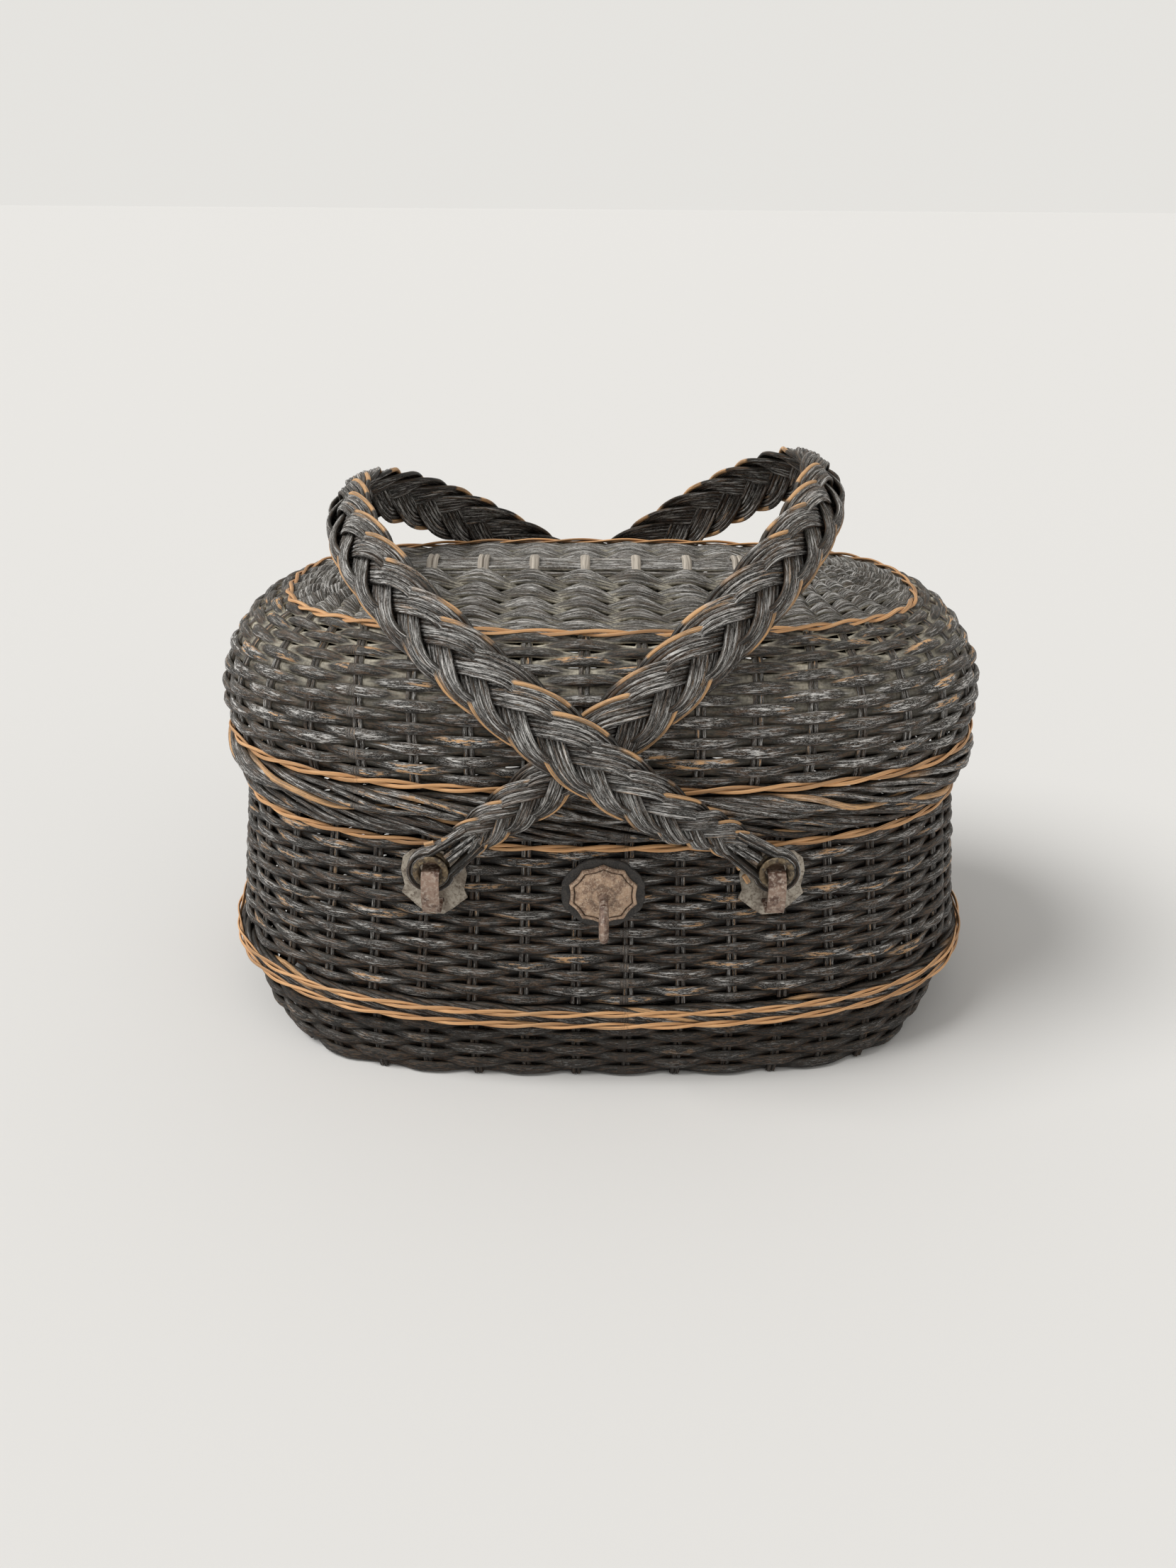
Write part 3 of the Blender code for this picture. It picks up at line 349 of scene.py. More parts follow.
class Rods:
    """Collects rods, then makes one mesh of them."""

    def __init__(self):
        self.points, self.faces, self.place, self.facts = [], [], [], []
        self.count, self.rods = 0, 0

    def add(
        self, line, out, wide, thick, closed=False, sides=8, deep=0.0, bare=0.0, both=False
    ):
        """line is n points, and out the outward direction there, one for each or one for all.
        wide and thick are half the section; they, deep and bare are one number or n numbers.
        both is for rods seen from two sides: deep from one side is proud from the other."""
        line = np.asarray(line, float)
        out = np.broadcast_to(np.asarray(out, float), line.shape)
        n = len(line)
        if closed:
            along = unit(np.roll(line, -1, 0) - np.roll(line, 1, 0))
        else:
            along = unit(np.gradient(line, axis=0))
        out = unit(out - (out * along).sum(1, keepdims=True) * along)
        across, out = np.cross(along, out)[:, None, :], out[:, None, :]
        angle = np.arange(sides) * 2 * np.pi / sides
        c, s = np.cos(angle), np.sin(angle)
        a, b = (np.broadcast_to(half, n)[:, None] for half in (wide, thick))
        ring = line[:, None, :] + (a * c)[..., None] * across + (b * s)[..., None] * out
        normal = unit((c / a)[..., None] * across + (s / b)[..., None] * out)
        run = distances(line)[:, None] + self.rods * SEED_STEP % SEED_SPAN
        deep = np.broadcast_to(deep, n)[:, None]
        if both:
            deep = np.where(s < 0, 1 - deep, deep)
        # Painted shade: deep also grows on the rod's inward side, or on both its edges for rods
        # seen from two sides, where neighbouring rods meet; the stained finishes darken it.
        hidden = deep * 0.7 + (1 - np.abs(s) if both else 1 - s) * 0.55
        bare, tone = np.broadcast_to(bare, n)[:, None], self.rods * TONE_STEP % 1.0
        facts = np.stack(np.broadcast_arrays(normal[..., 2], hidden, bare, tone), -1)
        self.points.append(ring.reshape(-1, 3))
        self.place.append(np.stack(np.broadcast_arrays(c, s, run), -1).reshape(-1, 3))
        self.facts.append(facts.reshape(-1, 4))
        self.faces += quads(n, sides, closed, self.count)
        if not closed:
            ends = range(self.count, self.count + n * sides)
            self.faces += [tuple(ends[:sides])[::-1], tuple(ends[-sides:])]
        self.count += n * sides
        self.rods += 1

    def make(self, name, material, body, *nodes):
        points = np.concatenate(self.points).tolist()
        facts = dict(zip(("upward", "deep", "bare", "tone"), np.concatenate(self.facts).T))
        facts["rod"] = np.concatenate(self.place)
        print(self.rods, "rods in", name)
        mesh_piece(name, points, self.faces, material, body, nodes, ROD_SHARP, **facts)


# %% [markdown]
# ## Rod fibre
#
# Peeled and stained willow isn't smooth: it has fine ridges along the rod, and the stain
# has worn off the ridges in long streaks. One stretched noise gives the streaks and a finer
# one the fibre. Both are read from the place on the rod, so they bend as the rod bends.

# %% The rod fibre group
# label: how much finer than Across, detail, roughness, and the range that is stretched
FIBRE_NOISES = {
    "Streak": (1.0, 4.0, 0.62, 0.42, 0.62),
    "Fine": (2.6, 3.0, 0.7, 0.42, 0.60),
    "Patch": (0.22, 2.0, 0.5, 0.30, 0.72),
    "Speck": (11.0, 1.0, 0.5, 0.56, 0.72),
}
fibre, given, outside = group(
    "Rod fibre",
    {"Place": None, "Along": 45.0, "Across": 4.0, "Seed": 0.0},
    (*FIBRE_NOISES, "Height"),
)
stretch = add_node(fibre, "CombineXYZ", {"X": 1.0, "Y": 1.0, "Z": given["Along"]}).outputs[0]
place = given["Place"]
for operation, by in (("MULTIPLY", stretch), ("ADD", given["Seed"])):
    place = add_node(fibre, "VectorMath", {0: place, 1: by}, operation=operation).outputs[0]
raw = {}
for label, (finer, detail, roughness, low, high) in FIBRE_NOISES.items():
    scale = maths(fibre, "MULTIPLY", given["Across"], finer)
    raw[label] = noise(fibre, place, scale, detail, roughness)
    send(fibre, outside, {label: spread(fibre, raw[label], low, high)})
ridges = maths(fibre, "MULTIPLY", raw["Streak"], 0.6)
summed = maths(fibre, "ADD", ridges, maths(fibre, "MULTIPLY", raw["Fine"], 0.4))
send(fibre, outside, {"Height": summed})

# %% [markdown]
# ## Settled dust
#
# Dust lies on what faces up and in what lies deep, and never evenly. The group takes those
# two facts and a patchy noise in the basket's own space and gives one mask. In the hollows
# it gathers on the lid's shoulders and top, where nothing brushes it off, so the height of
# the place counts too.

# %% The settled dust group
SHOULDER = (0.157, 0.185)
DUST_PATCH_SCALE, DUST_SPECK_SCALE = 55.0, 900.0
dust, given, outside = group(
    "Settled dust",
    {"Upward": 0.0, "Deep": 0.0, "Place": None, "Amount": 0.5, "Crevice": 0.5, "Deep from": 0.35},
    ("Mask",),
)
patchy = noise(dust, given["Place"], DUST_PATCH_SCALE, 6.0, 0.72)
speckle = noise(dust, given["Place"], DUST_SPECK_SCALE, 2.0)
on_top = product(dust, spread(dust, given["Upward"], -0.15, 0.95), given["Amount"])
deep_to = maths(dust, "ADD", given["Deep from"], 0.34)
in_deep = product(
    dust,
    spread(dust, given["Deep"], given["Deep from"], deep_to),
    given["Crevice"],
    spread(dust, height_of(dust, given["Place"]), *SHOULDER, 0.12, 1.0),
)
lying = maths(dust, "MAXIMUM", on_top, in_deep)
uneven = product(
    dust, spread(dust, patchy, 0.34, 0.62, 0.3, 1.0), spread(dust, speckle, 0.3, 0.6, 0.6, 1.0)
)
send(dust, outside, {"Mask": maths(dust, "MULTIPLY", lying, uneven, clamp=True)})

# %% [markdown]
# ## Stained willow
#
# The main finish: willow stained black a long time ago. From dark to light it is built in
# layers: black stain, a softer dark tone made darker where a rod lies deep as painted shade,
# brown where the stain is thin, grey streaks that are partly rubbed ridges and partly a
# painted highlight on the upper side of each rod, bare tan wood at a few worn spots, and
# dust last.
# The weave, the plaits and the lid use the same recipe with different amounts.

# %% The stained willow recipe
BLACK_STAIN = (0.0085, 0.0078, 0.0072)
# The grey is both the colour of rubbed ridges and a painted highlight.
RUBBED_GREY_AND_HIGHLIGHT = (0.63, 0.62, 0.60)
THIN_BROWN = (0.105, 0.062, 0.036)
BARE_TAN = (0.66, 0.39, 0.19)
DUST_COLOUR = (0.80, 0.745, 0.61)
GRAIN_ALONG = 45.0
WILLOW_SPECULAR, WILLOW_ROUGHNESS = 0.20, 0.48


def stained_willow(
    name, soft, rubbed_and_highlight, dusted, crevice, worn, across=4.0, brown=0.35, deep_from=0.35, high_rub_and_highlight=1.0
):
    """soft is the colour between the black stain and the grey of rubbed ridges and painted
    highlight; the rest are amounts.
    """
    made, tree, shader = new_material(name)
    place = attribute(tree, "rod", "Vector")
    where = add_node(tree, "TexCoord").outputs["Object"]
    upward, deep, bare, tone = (attribute(tree, k) for k in ("upward", "deep", "bare", "tone"))
    fine_grain = {"Place": place, "Along": GRAIN_ALONG, "Across": across}
    grain = add_node(tree, "Group", fine_grain, node_tree=fibre).outputs
    broad = {"Place": place, "Along": GRAIN_ALONG * 1.6, "Across": across * 0.4, "Seed": 31.7}
    wear = add_node(tree, "Group", broad, node_tree=fibre).outputs
    lies = {"Upward": upward, "Deep": deep, "Place": where}
    lies |= {"Amount": dusted, "Crevice": crevice, "Deep from": deep_from}
    settled = add_node(tree, "Group", lies, node_tree=dust).outputs["Mask"]

    streak, patch = grain["Streak"], wear["Patch"]
    # Painted shade: proud is low where a rod lies deep, and the soft tone and the grey streaks go
    # darker there; the worn spots keep to proud places.
    proud = spread(tree, deep, 0.78, 0.04)
    # Painted highlight: lit makes the grey streaks stronger on the upper side of each rod, and on
    # the lid it also changes them with height.
    lit = spread(tree, upward, -0.8, 0.6, 0.55, 1.0)
    if high_rub_and_highlight != 1.0:
        lit = product(tree, lit, spread(tree, height_of(tree, where), *SHOULDER, 1.0, high_rub_and_highlight))
    by_rod = spread(tree, tone, 0.0, 1.0, 0.6, 1.2)
    uneven = spread(tree, patch, 0.0, 0.8, 0.35, 1.15)
    fibres = product(tree, streak, grain["Fine"])
    # The soft tone is darker where a rod lies deep: painted shade.
    soft_and_shade = product(
        tree,
        spread(tree, streak, 0.0, 1.0, 0.25, 1.0),
        spread(tree, proud, 0.0, 1.0, 0.35, 1.0),
        by_rod,
    )
    browned = product(
        tree, spread(tree, wear["Fine"], 0.3, 1.0), spread(tree, patch, 0.9, 0.2), brown
    )
    # The grey streaks and specks are rubbed ridges and also a painted highlight, through lit.
    rub_and_highlight = product(tree, spread(tree, fibres, 0.17, 0.75), proud, lit, uneven, by_rod, rubbed_and_highlight)
    specks_and_highlight = product(tree, grain["Speck"], proud, lit, uneven, rubbed_and_highlight * 0.7)
    worn_off = product(
        tree,
        spread(tree, wear["Streak"], 0.3, 0.8),
        spread(tree, wear["Fine"], 0.1, 0.5),
        spread(tree, patch, 0.70, 0.88),
        proud,
        worn,
    )
    edge = product(
        tree, spread(tree, bare, 0.25, 0.55), spread(tree, streak, 0.0, 0.4, 0.45, 1.0)
    )
    colour = BLACK_STAIN
    for share, layer in (
        (soft_and_shade, soft),
        (browned, THIN_BROWN),
        (maths(tree, "MINIMUM", rub_and_highlight, 0.95), RUBBED_GREY_AND_HIGHLIGHT),
        (maths(tree, "MINIMUM", specks_and_highlight, 0.8), RUBBED_GREY_AND_HIGHLIGHT),
        (maths(tree, "MAXIMUM", worn_off, edge, clamp=True), BARE_TAN),
        (settled, DUST_COLOUR),
    ):
        colour = blend_colours(tree, share, colour, layer)
    smooth = spread(tree, streak, 0.0, 1.0, WILLOW_ROUGHNESS, WILLOW_ROUGHNESS + 0.16)
    rough = maths(tree, "ADD", smooth, maths(tree, "MULTIPLY", settled, 0.3))
    normal = bump(tree, 0.9, 0.00025, grain["Height"])
    send(tree, shader, {"Base Color": colour, "Roughness": rough, "Normal": normal})
    send(tree, shader, {"Specular IOR Level": WILLOW_SPECULAR})
    return made


# fmt: off
STAINED = {
    "walls": dict(soft=(0.022, 0.019, 0.017), rubbed_and_highlight=0.82, dusted=0.035, crevice=0.01,
                  worn=0.7, across=2.6, brown=0.6),
    "lid": dict(soft=(0.036, 0.032, 0.028), rubbed_and_highlight=1.7, dusted=0.05, crevice=1.0, worn=1.0,
                across=2.6, brown=0.6, deep_from=0.44, high_rub_and_highlight=0.3),
    "lid top": dict(soft=(0.060, 0.054, 0.046), rubbed_and_highlight=2.3, dusted=0.08, crevice=0.8,
                    worn=0.1, across=2.0, deep_from=0.42),
    "plaits": dict(soft=(0.028, 0.026, 0.024), rubbed_and_highlight=2.6, dusted=0.045, crevice=0.015,
                   worn=0.35, across=1.7, brown=0.5),
    # The left plait's finish is the plaits' one made darker and browner: painted shade.
    "left plait": dict(soft=(0.028, 0.023, 0.019), rubbed_and_highlight=2.0, dusted=0.045, crevice=0.015,
                       worn=0.4, across=1.7, brown=0.75),
    # The foot's darker stain and fewer grey streaks are painted shade on the low part, which the
    # pale floor lights from below.
    "foot": dict(soft=(0.016, 0.013, 0.011), rubbed_and_highlight=0.30, dusted=0.03, crevice=0.0,
                 worn=0.15, brown=0.5),
}
# fmt: on
willow = {part: stained_willow("Stained willow, " + part, **STAINED[part]) for part in STAINED}
print("stained willow for:", list(willow))

# %% [markdown]
# ## Natural and pale willow
#
# The marker rods are unstained willow that has aged to orange, with some dirt between the
# fibres and painted shade where a rod lies deep or faces in. The short sticks that cross the
# lid are worn pale. One recipe makes both, since they differ only in colour and in how much
# dirt they hold.


# %% The natural willow recipe
def natural_willow(name, light, deep_tone, dark, dirt_amount, roughness):
    made, tree, shader = new_material(name)
    place = attribute(tree, "rod", "Vector")
    fine_grain = {"Place": place, "Along": 28.0, "Across": 2.6}
    grain = add_node(tree, "Group", fine_grain, node_tree=fibre).outputs
    broad = {"Place": place, "Along": 40.0, "Across": 1.2, "Seed": 11.3}
    blot = add_node(tree, "Group", broad, node_tree=fibre).outputs
    dirt_and_shade = product(tree, spread(tree, blot["Patch"], 0.45, 0.95), dirt_amount)
    # Painted shade: the same dark colour as the dirt also goes where the rod lies deep or faces
    # in.
    in_deep = spread(tree, attribute(tree, "deep"), 0.55, 1.05, 0.0, 0.85)
    dirt_and_shade = maths(tree, "MAXIMUM", dirt_and_shade, in_deep)
    by_fibre = spread(tree, grain["Fine"], 0.0, 0.7, 1.0, 0.75)
    dirt_and_shade = maths(tree, "MULTIPLY", dirt_and_shade, by_fibre, clamp=True)
    colour = blend_colours(tree, grain["Streak"], deep_tone, light)
    colour = blend_colours(tree, dirt_and_shade, colour, dark)
    rough = spread(tree, grain["Streak"], 0.0, 1.0, roughness, roughness + 0.15)
    normal = bump(tree, 0.6, 0.00015, grain["Height"])
    send(tree, shader, {"Base Color": colour, "Roughness": rough, "Normal": normal})
    return made


orange_willow = natural_willow(
    "Natural willow", (0.82, 0.49, 0.24), (0.56, 0.28, 0.11), (0.07, 0.042, 0.025), 0.5, 0.5
)
pale_willow = natural_willow(
    "Worn pale willow", (0.60, 0.54, 0.46), (0.34, 0.30, 0.25), (0.10, 0.085, 0.07), 0.45, 0.6
)

# %% [markdown]
# ## Old metal and leather
#
# Rusted iron, grey sheet metal and dull brass are each a base colour, a second colour in
# blotches, and scratches or pits in the bump. Blotches that also change how metallic and how
# rough the surface is are what makes old metal look old. Leather is the same idea with a
# fine crackle in place of pits.

# %% The metal and leather recipe
blotch, given, outside = group(
    "Blotches and pits",
    {"Place": None, "Size": 120.0, "Pit size": 900.0},
    ("Blotch", "Speck", "Height"),
)
large = noise(blotch, given["Place"], given["Size"], 6.0, 0.65)
small = noise(blotch, given["Place"], given["Pit size"], 4.0, 0.6)
pits = maths(blotch, "MULTIPLY", small, 0.35)
pitted = maths(blotch, "ADD", maths(blotch, "MULTIPLY", large, 0.7), pits)
send(blotch, outside, {"Blotch": spread(blotch, large, 0.44, 0.56), "Height": pitted})
send(blotch, outside, {"Speck": spread(blotch, small, 0.45, 0.70)})
GROOVE_DIRT = (0.030, 0.020, 0.015)


def old_metal(name, base, second, speck, metal, roughness, depth, size=120.0, pit_size=900.0):
    """speck is the colour of the pits, depth the height of the bump, and the sizes are scales."""
    made, tree, shader = new_material(name)
    where = add_node(tree, "TexCoord").outputs["Object"]
    scales = {"Place": where, "Size": size, "Pit size": pit_size}
    marks = add_node(tree, "Group", scales, node_tree=blotch).outputs
    colour = blend_colours(tree, marks["Blotch"], base, second)
    colour = blend_colours(tree, maths(tree, "MULTIPLY", marks["Speck"], 0.75), colour, speck)
    colour = blend_colours(tree, attribute(tree, "groove"), colour, GROOVE_DIRT)
    metallic = spread(tree, marks["Blotch"], 0.0, 1.0, metal, metal * 0.25)
    rough = spread(tree, marks["Speck"], 0.0, 1.0, roughness, roughness + 0.25)
    send(tree, shader, {"Base Color": colour, "Metallic": metallic, "Roughness": rough})
    send(tree, shader, {"Normal": bump(tree, 0.8, depth, marks["Height"])})
    return made


# fmt: off
METALS = {
    "Worn rosette metal": ((0.45, 0.305, 0.205), (0.21, 0.128, 0.083), (0.66, 0.53, 0.40),
                           0.1, 0.5, 0.0008, 200.0, 1300.0),
    "Rusted iron": ((0.27, 0.185, 0.14), (0.085, 0.042, 0.027), (0.52, 0.44, 0.37),
                    0.25, 0.5, 0.0004, 120.0, 700.0),
    "Grey sheet metal": ((0.42, 0.375, 0.31), (0.22, 0.185, 0.145), (0.09, 0.06, 0.04),
                         0.2, 0.5, 0.0002),
    "Dull brass": ((0.135, 0.098, 0.06), (0.05, 0.035, 0.022), (0.34, 0.27, 0.17),
                   0.75, 0.42, 0.0001, 260.0),
    "Black leather": ((0.008, 0.007, 0.0065), (0.022, 0.019, 0.017), (0.085, 0.075, 0.065),
                      0.0, 0.6, 0.0005, 300.0, 1500.0),
}
# fmt: on
metal = {name: old_metal(name, *values) for name, values in METALS.items()}
print("old metal and leather:", list(metal))

# %% [markdown]
# ## The plan and the walls
#
# Seen from above, the basket is a rounded oblong, between an ellipse and a rectangle: a
# superellipse. All woven rings are offsets of this one outline. A place on a wall is given
# by two numbers, which stake it is at and how far up the wall it is, so a rod that weaves
# is a simple curve in these two numbers plus a swing in and out.

# %% The plan
PLAN_POWER = 2.6
FOOT_POWER = 3.8
WIDTH_LESS_DEPTH = 62.7 * MM
LID_DEPTH_LESS = 3 * MM
PLAN_TURNS = np.linspace(-np.pi / 2, 1.5 * np.pi, 1441)[:-1]
AHEAD = 0.02  # how far ahead, in stakes, the direction along a ring is measured


def oblong(half_x, half_y, power_x, power_y):
    """Dense points round an oblong, from the middle of the front towards the right."""
    c, s = np.cos(PLAN_TURNS), np.sin(PLAN_TURNS)
    x = half_x * np.sign(c) * np.abs(c) ** power_x
    y = half_y * np.sign(s) * np.abs(s) ** power_y
    return np.stack([x, y], 1)


def outline(half_x, depth_gain=0.0, power=PLAN_POWER):
    """The basket's plan at a given half length."""
    return oblong(half_x, half_x - WIDTH_LESS_DEPTH + depth_gain, 2 / power, 2 / power)


class Ring:
    """A closed outline that is walked by stake number."""

    def __init__(self, points, knots):
        self.points = np.vstack([points, points[:1]])
        self.run = distances(self.points)
        self.stakes, self.at = knots(points, self.run)
        self.count = int(self.stakes[-1])

    def __call__(self, u):
        laps = np.floor(u / self.count)
        s = np.interp(u - laps * self.count, self.stakes, self.at) % self.run[-1]
        return np.stack([np.interp(s, self.run, self.points[:, k]) for k in (0, 1)], 1)


BODY_STAKES = 42


def even_knots(points, run):
    """Body stakes are evenly spaced, with the front's middle between two of them."""
    step = run[-1] / BODY_STAKES
    return np.array([0.0, BODY_STAKES]), np.array([step / 2, run[-1] + step / 2])


# %% [markdown]
# ### Where the lid's sticks go
#
# On the lid the same rods start as sticks across the top, lie side by side over the front
# and back and fan out round the two ends. So the stake number fixes x along the front and
# back, and the ends share what is left evenly.

# %% The lid's stake numbering
STICK_MIDDLE = -7.4 * MM
STICK_PITCH = 22.1 * MM
SIDE_STICKS = 8
RIGHT_GAPS, LEFT_GAPS = 13, 11
LID_STAKES = 2 * SIDE_STICKS + RIGHT_GAPS + LEFT_GAPS


def lid_knots(points, run):
    """Stake numbers and distances at the corners of the straight runs."""
    low = STICK_MIDDLE - STICK_PITCH * SIDE_STICKS / 2
    high = STICK_MIDDLE + STICK_PITCH * SIDE_STICKS / 2
    (x, y), at = points.T, run[:-1]
    front_low = at[(y < 0) & (x < low)].max()
    front_high = at[(y < 0) & (x < high) & (x > 0)].max()
    back_high = at[(y > 0) & (x < high) & (x > 0)].min()
    back_low = at[(y > 0) & (x > low)].max()
    stakes = np.cumsum([0.0, SIDE_STICKS, RIGHT_GAPS, SIDE_STICKS, LEFT_GAPS])
    return stakes, np.array([front_low - run[-1], front_high, back_high, back_low, front_low])


def lid_ring(half_x):
    return Ring(outline(half_x, -LID_DEPTH_LESS), lid_knots)


# %% Walls, and lines laid round them
ROW_THICK = 1.5 * MM
ROW_SWING = 1.5 * MM
WALL_INSET = ROW_SWING + ROW_THICK
STAKE_RADIUS = 1.15 * MM


def around(stakes, fine):
    """Stake numbers once round, with so many points from one stake to the next."""
    return np.arange(stakes * fine) / fine


class Wall:
    """Rings stacked at their heights. A level is counted in rings from the lowest one."""

    def __init__(self, rings, heights):
        self.rings, self.heights, self.stakes = rings, heights, rings[0].count
        self.top = len(rings) - 1 - 1e-6

    def lay(self, level, u):
        """Points at a level, with the directions up the wall and out of it."""
        level = np.broadcast_to(level, len(u))
        index = np.clip(np.floor(level).astype(int), 0, len(self.rings) - 2)
        lower, upper, onward = np.zeros((3, len(u), 3))
        for i in np.unique(index):
            at = index == i
            for points, k, stake in ((lower, i, u), (upper, i + 1, u), (onward, i, u + AHEAD)):
                points[at, :2], points[at, 2] = self.rings[k](stake[at]), self.heights[k]
        rise = unit(upper - lower)
        out = unit(np.cross(unit(onward - lower), rise))
        return lower + (upper - lower) * (level - index)[:, None], rise, out

    def line(self, level, inset):
        """A function that gives what lay() does at one level, set in from the face."""

        def at(u):
            points, rise, out = self.lay(level, u)
            return points - out * inset, rise, out

        return at


def hoop(ring, z, inset):
    """The same for one ring at a height."""

    def at(u):
        xy = ring(u)
        out = np.cross(unit(path(*(ring(u + AHEAD) - xy).T, 0.0)), UP)
        return path(*xy.T, z) - out * inset, UP, out

    return at


# %% The weaving itself
def weave_rows(rods, wall, levels, tall, seed, wobble):
    """Rows of single rods, in front of one stake and behind the next."""
    u = around(wall.stakes, 6)

    def rough(waves, offset):
        return smooth_noise(len(u), waves, seed + offset + row)

    for row, level in enumerate(levels):
        drift = (0.6 * rough(9, 0) + 0.4 * rough(wall.stakes, 400)) * wobble
        points, rise, out = wall.lay(np.clip(level + drift, 0, wall.top), u)
        wave = np.cos(np.pi * (u + row))
        wave = wave * (1.18 - 0.18 * wave * wave)
        size = 1 + 0.07 * rough(5, 100) + 0.09 * rough(wall.stakes, 300)
        shove = 0.45 * MM * rough(40, 200)
        line = points + out * (ROW_SWING * wave - WALL_INSET + shove)[:, None]
        crest = 0.5 + 0.5 * wave
        lens = 0.90 + 0.10 * wave**2 - 0.02 * (1 - crest)
        thick = ROW_THICK * (0.9 + 0.1 * crest) * size
        rods.add(line, out, tall * size * lens, thick, closed=True, deep=1 - crest)


def stake_pairs(rods, wall, apart, low=0.0, steps=14):
    """Upright stakes, each of two thin rods side by side."""
    level = np.linspace(low, wall.top, steps)
    for k in range(wall.stakes):
        for hand in (-1, 1):
            points, rise, out = wall.lay(level, np.full(steps, k + hand * apart))
            line = points - out * WALL_INSET
            rods.add(line, out, STAKE_RADIUS, STAKE_RADIUS, sides=6, deep=0.3)


def twined_line(name, ring_at, stakes, body, node, seed, half=0.72 * MM, apart=0.85 * MM):
    """Two thin natural rods that twist round each other, half a turn at every stake."""
    rods = Rods()
    u = around(stakes, 8)
    points, rise, out = ring_at(u)
    for strand in (0, 1):
        turn = np.pi * (u + strand)
        wander = 0.22 * smooth_noise(len(u), 14, seed + strand)
        climb = apart * (np.sin(turn) + wander)
        line = points + rise * climb[:, None] + out * (apart * 0.9 * np.cos(turn))[:, None]
        size = half * (1 + 0.15 * smooth_noise(len(u), 8, seed + 7 + strand))
        deep = 0.25 - 0.25 * np.cos(turn)
        rods.add(line, out, size * 1.1, size * 0.8, closed=True, sides=6, deep=deep)
    rods.make(name, orange_willow, body, node)


def rope_band(
    name, node, ring, inset, material, body, count, laps, reach, depth, half, seed, rough, natural
):
    """Rods that climb across a band in front and return behind, like the strands of a rope.
    natural are the numbers of the strands that show some bare wood."""
    rods = Rods()
    u = around(ring.count, 6)
    points, rise, out = hoop(ring, middle_z(node), inset)(u)

    def uneven(waves, offset):
        return smooth_noise(len(u), waves, seed + offset + k)

    for k in range(count):
        slip = 0.35 * uneven(7, 20)
        turn = 2 * np.pi * (k / count - u * laps / ring.count) + slip
        across = reach * np.sin(turn) + rough * half * uneven(17, 0)
        front = depth * np.cos(turn) + 0.4 * rough * half * uneven(23, 30)
        line = points + rise * across[:, None] + out * front[:, None]
        size = half * (1 + 0.22 * uneven(15, 50))
        bare = np.clip(0.45 + 0.9 * uneven(9, 70), 0, 1) if k in natural else 0.0
        deep = 0.4 - 0.4 * np.cos(turn)
        rods.add(line, out, size, size * 0.9, closed=True, sides=7, deep=deep, bare=bare)
    rods.make(name, material, body, node)


def curve_through(shares, fine):
    """A smooth curve through a table of shares."""
    ups, ins = (np.array(column) for column in zip(*shares))
    slope = np.gradient(ins, ups)
    at = np.linspace(0, 1, fine)
    i = np.clip(np.searchsorted(ups, at, side="right") - 1, 0, len(ups) - 2)
    h = ups[i + 1] - ups[i]
    t = (at - ups[i]) / h
    a, b = 2 * t**3 - 3 * t**2 + 1, t**3 - 2 * t**2 + t
    c, d = -2 * t**3 + 3 * t**2, t**3 - t**2
    return at, a * ins[i] + b * h * slope[i] + c * ins[i + 1] + d * h * slope[i + 1]


# %% [markdown]
# ## Body wall
#
# Eighteen rows climb the wall between the lower band and the border. The wall leans in a
# little towards the top. Each row starts one stake later than the row below it, which gives
# the brick pattern of plain weaving.

# %% Body wall
WALL_LEAN = 9.5 * MM
WALL_ROWS = 18
FIRST_ROW_UP, LAST_ROW_BELOW_LINE = 2.0 * MM, 3.1 * MM
wall_low, wall_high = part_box("body_wall")
wall_tall = wall_high.z - wall_low.z
wall_rings = [Ring(outline(wall_high.x - lean), even_knots) for lean in (0.0, WALL_LEAN)]
wall = Wall(wall_rings, [wall_low.z, wall_high.z])
line_level = (middle_z("body_line") - wall_low.z) / wall_tall
first, last = FIRST_ROW_UP / wall_tall, line_level - LAST_ROW_BELOW_LINE / wall_tall
body = Rods()
weave_rows(body, wall, np.linspace(first, last, WALL_ROWS), 2.36 * MM, seed=10, wobble=0.010)
stake_pairs(body, wall, 0.054)
body.make("wall_weave", willow["walls"], "basket", "body_wall")
twined_line(
    "wall_marker", wall.line(line_level, 0.7 * MM), BODY_STAKES, "basket", "body_line", seed=3
)

# %% [markdown]
# ## Foot and floor
#
# Below the band the basket draws in to a smaller oval with squarer ends. The rows there are
# darker and tighter. The floor is woven too, and is seen when the lid is lifted.

# %% Foot
FOOT_CURVE_SHARES = ((0.0, 1.0), (0.30, 0.52), (0.64, 0.17), (1.0, 0.0))
FOOT_DRAW = 21 * MM
FOOT_DEPTH_GAIN = 20.5 * MM
FOOT_RINGS, FOOT_ROWS = 10, 8
foot_low, foot_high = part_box("foot_wall")
foot_rings, foot_heights = [], []
for up_share, way_in in zip(*curve_through(FOOT_CURVE_SHARES, FOOT_RINGS)):
    half = foot_high.x - FOOT_DRAW * way_in
    power = PLAN_POWER + (FOOT_POWER - PLAN_POWER) * way_in
    foot_rings.append(Ring(outline(half, FOOT_DEPTH_GAIN * way_in, power), even_knots))
    foot_heights.append(foot_high.z * up_share)
foot_wall = Wall(foot_rings, foot_heights)
foot = Rods()
foot_levels = np.linspace(0.108, 0.99, FOOT_ROWS) * (FOOT_RINGS - 1)
weave_rows(foot, foot_wall, foot_levels, 2.6 * MM, seed=40, wobble=0.07)
stake_pairs(foot, foot_wall, 0.046, low=0.15)
foot.make("foot_weave", willow["foot"], "basket", "foot_wall")

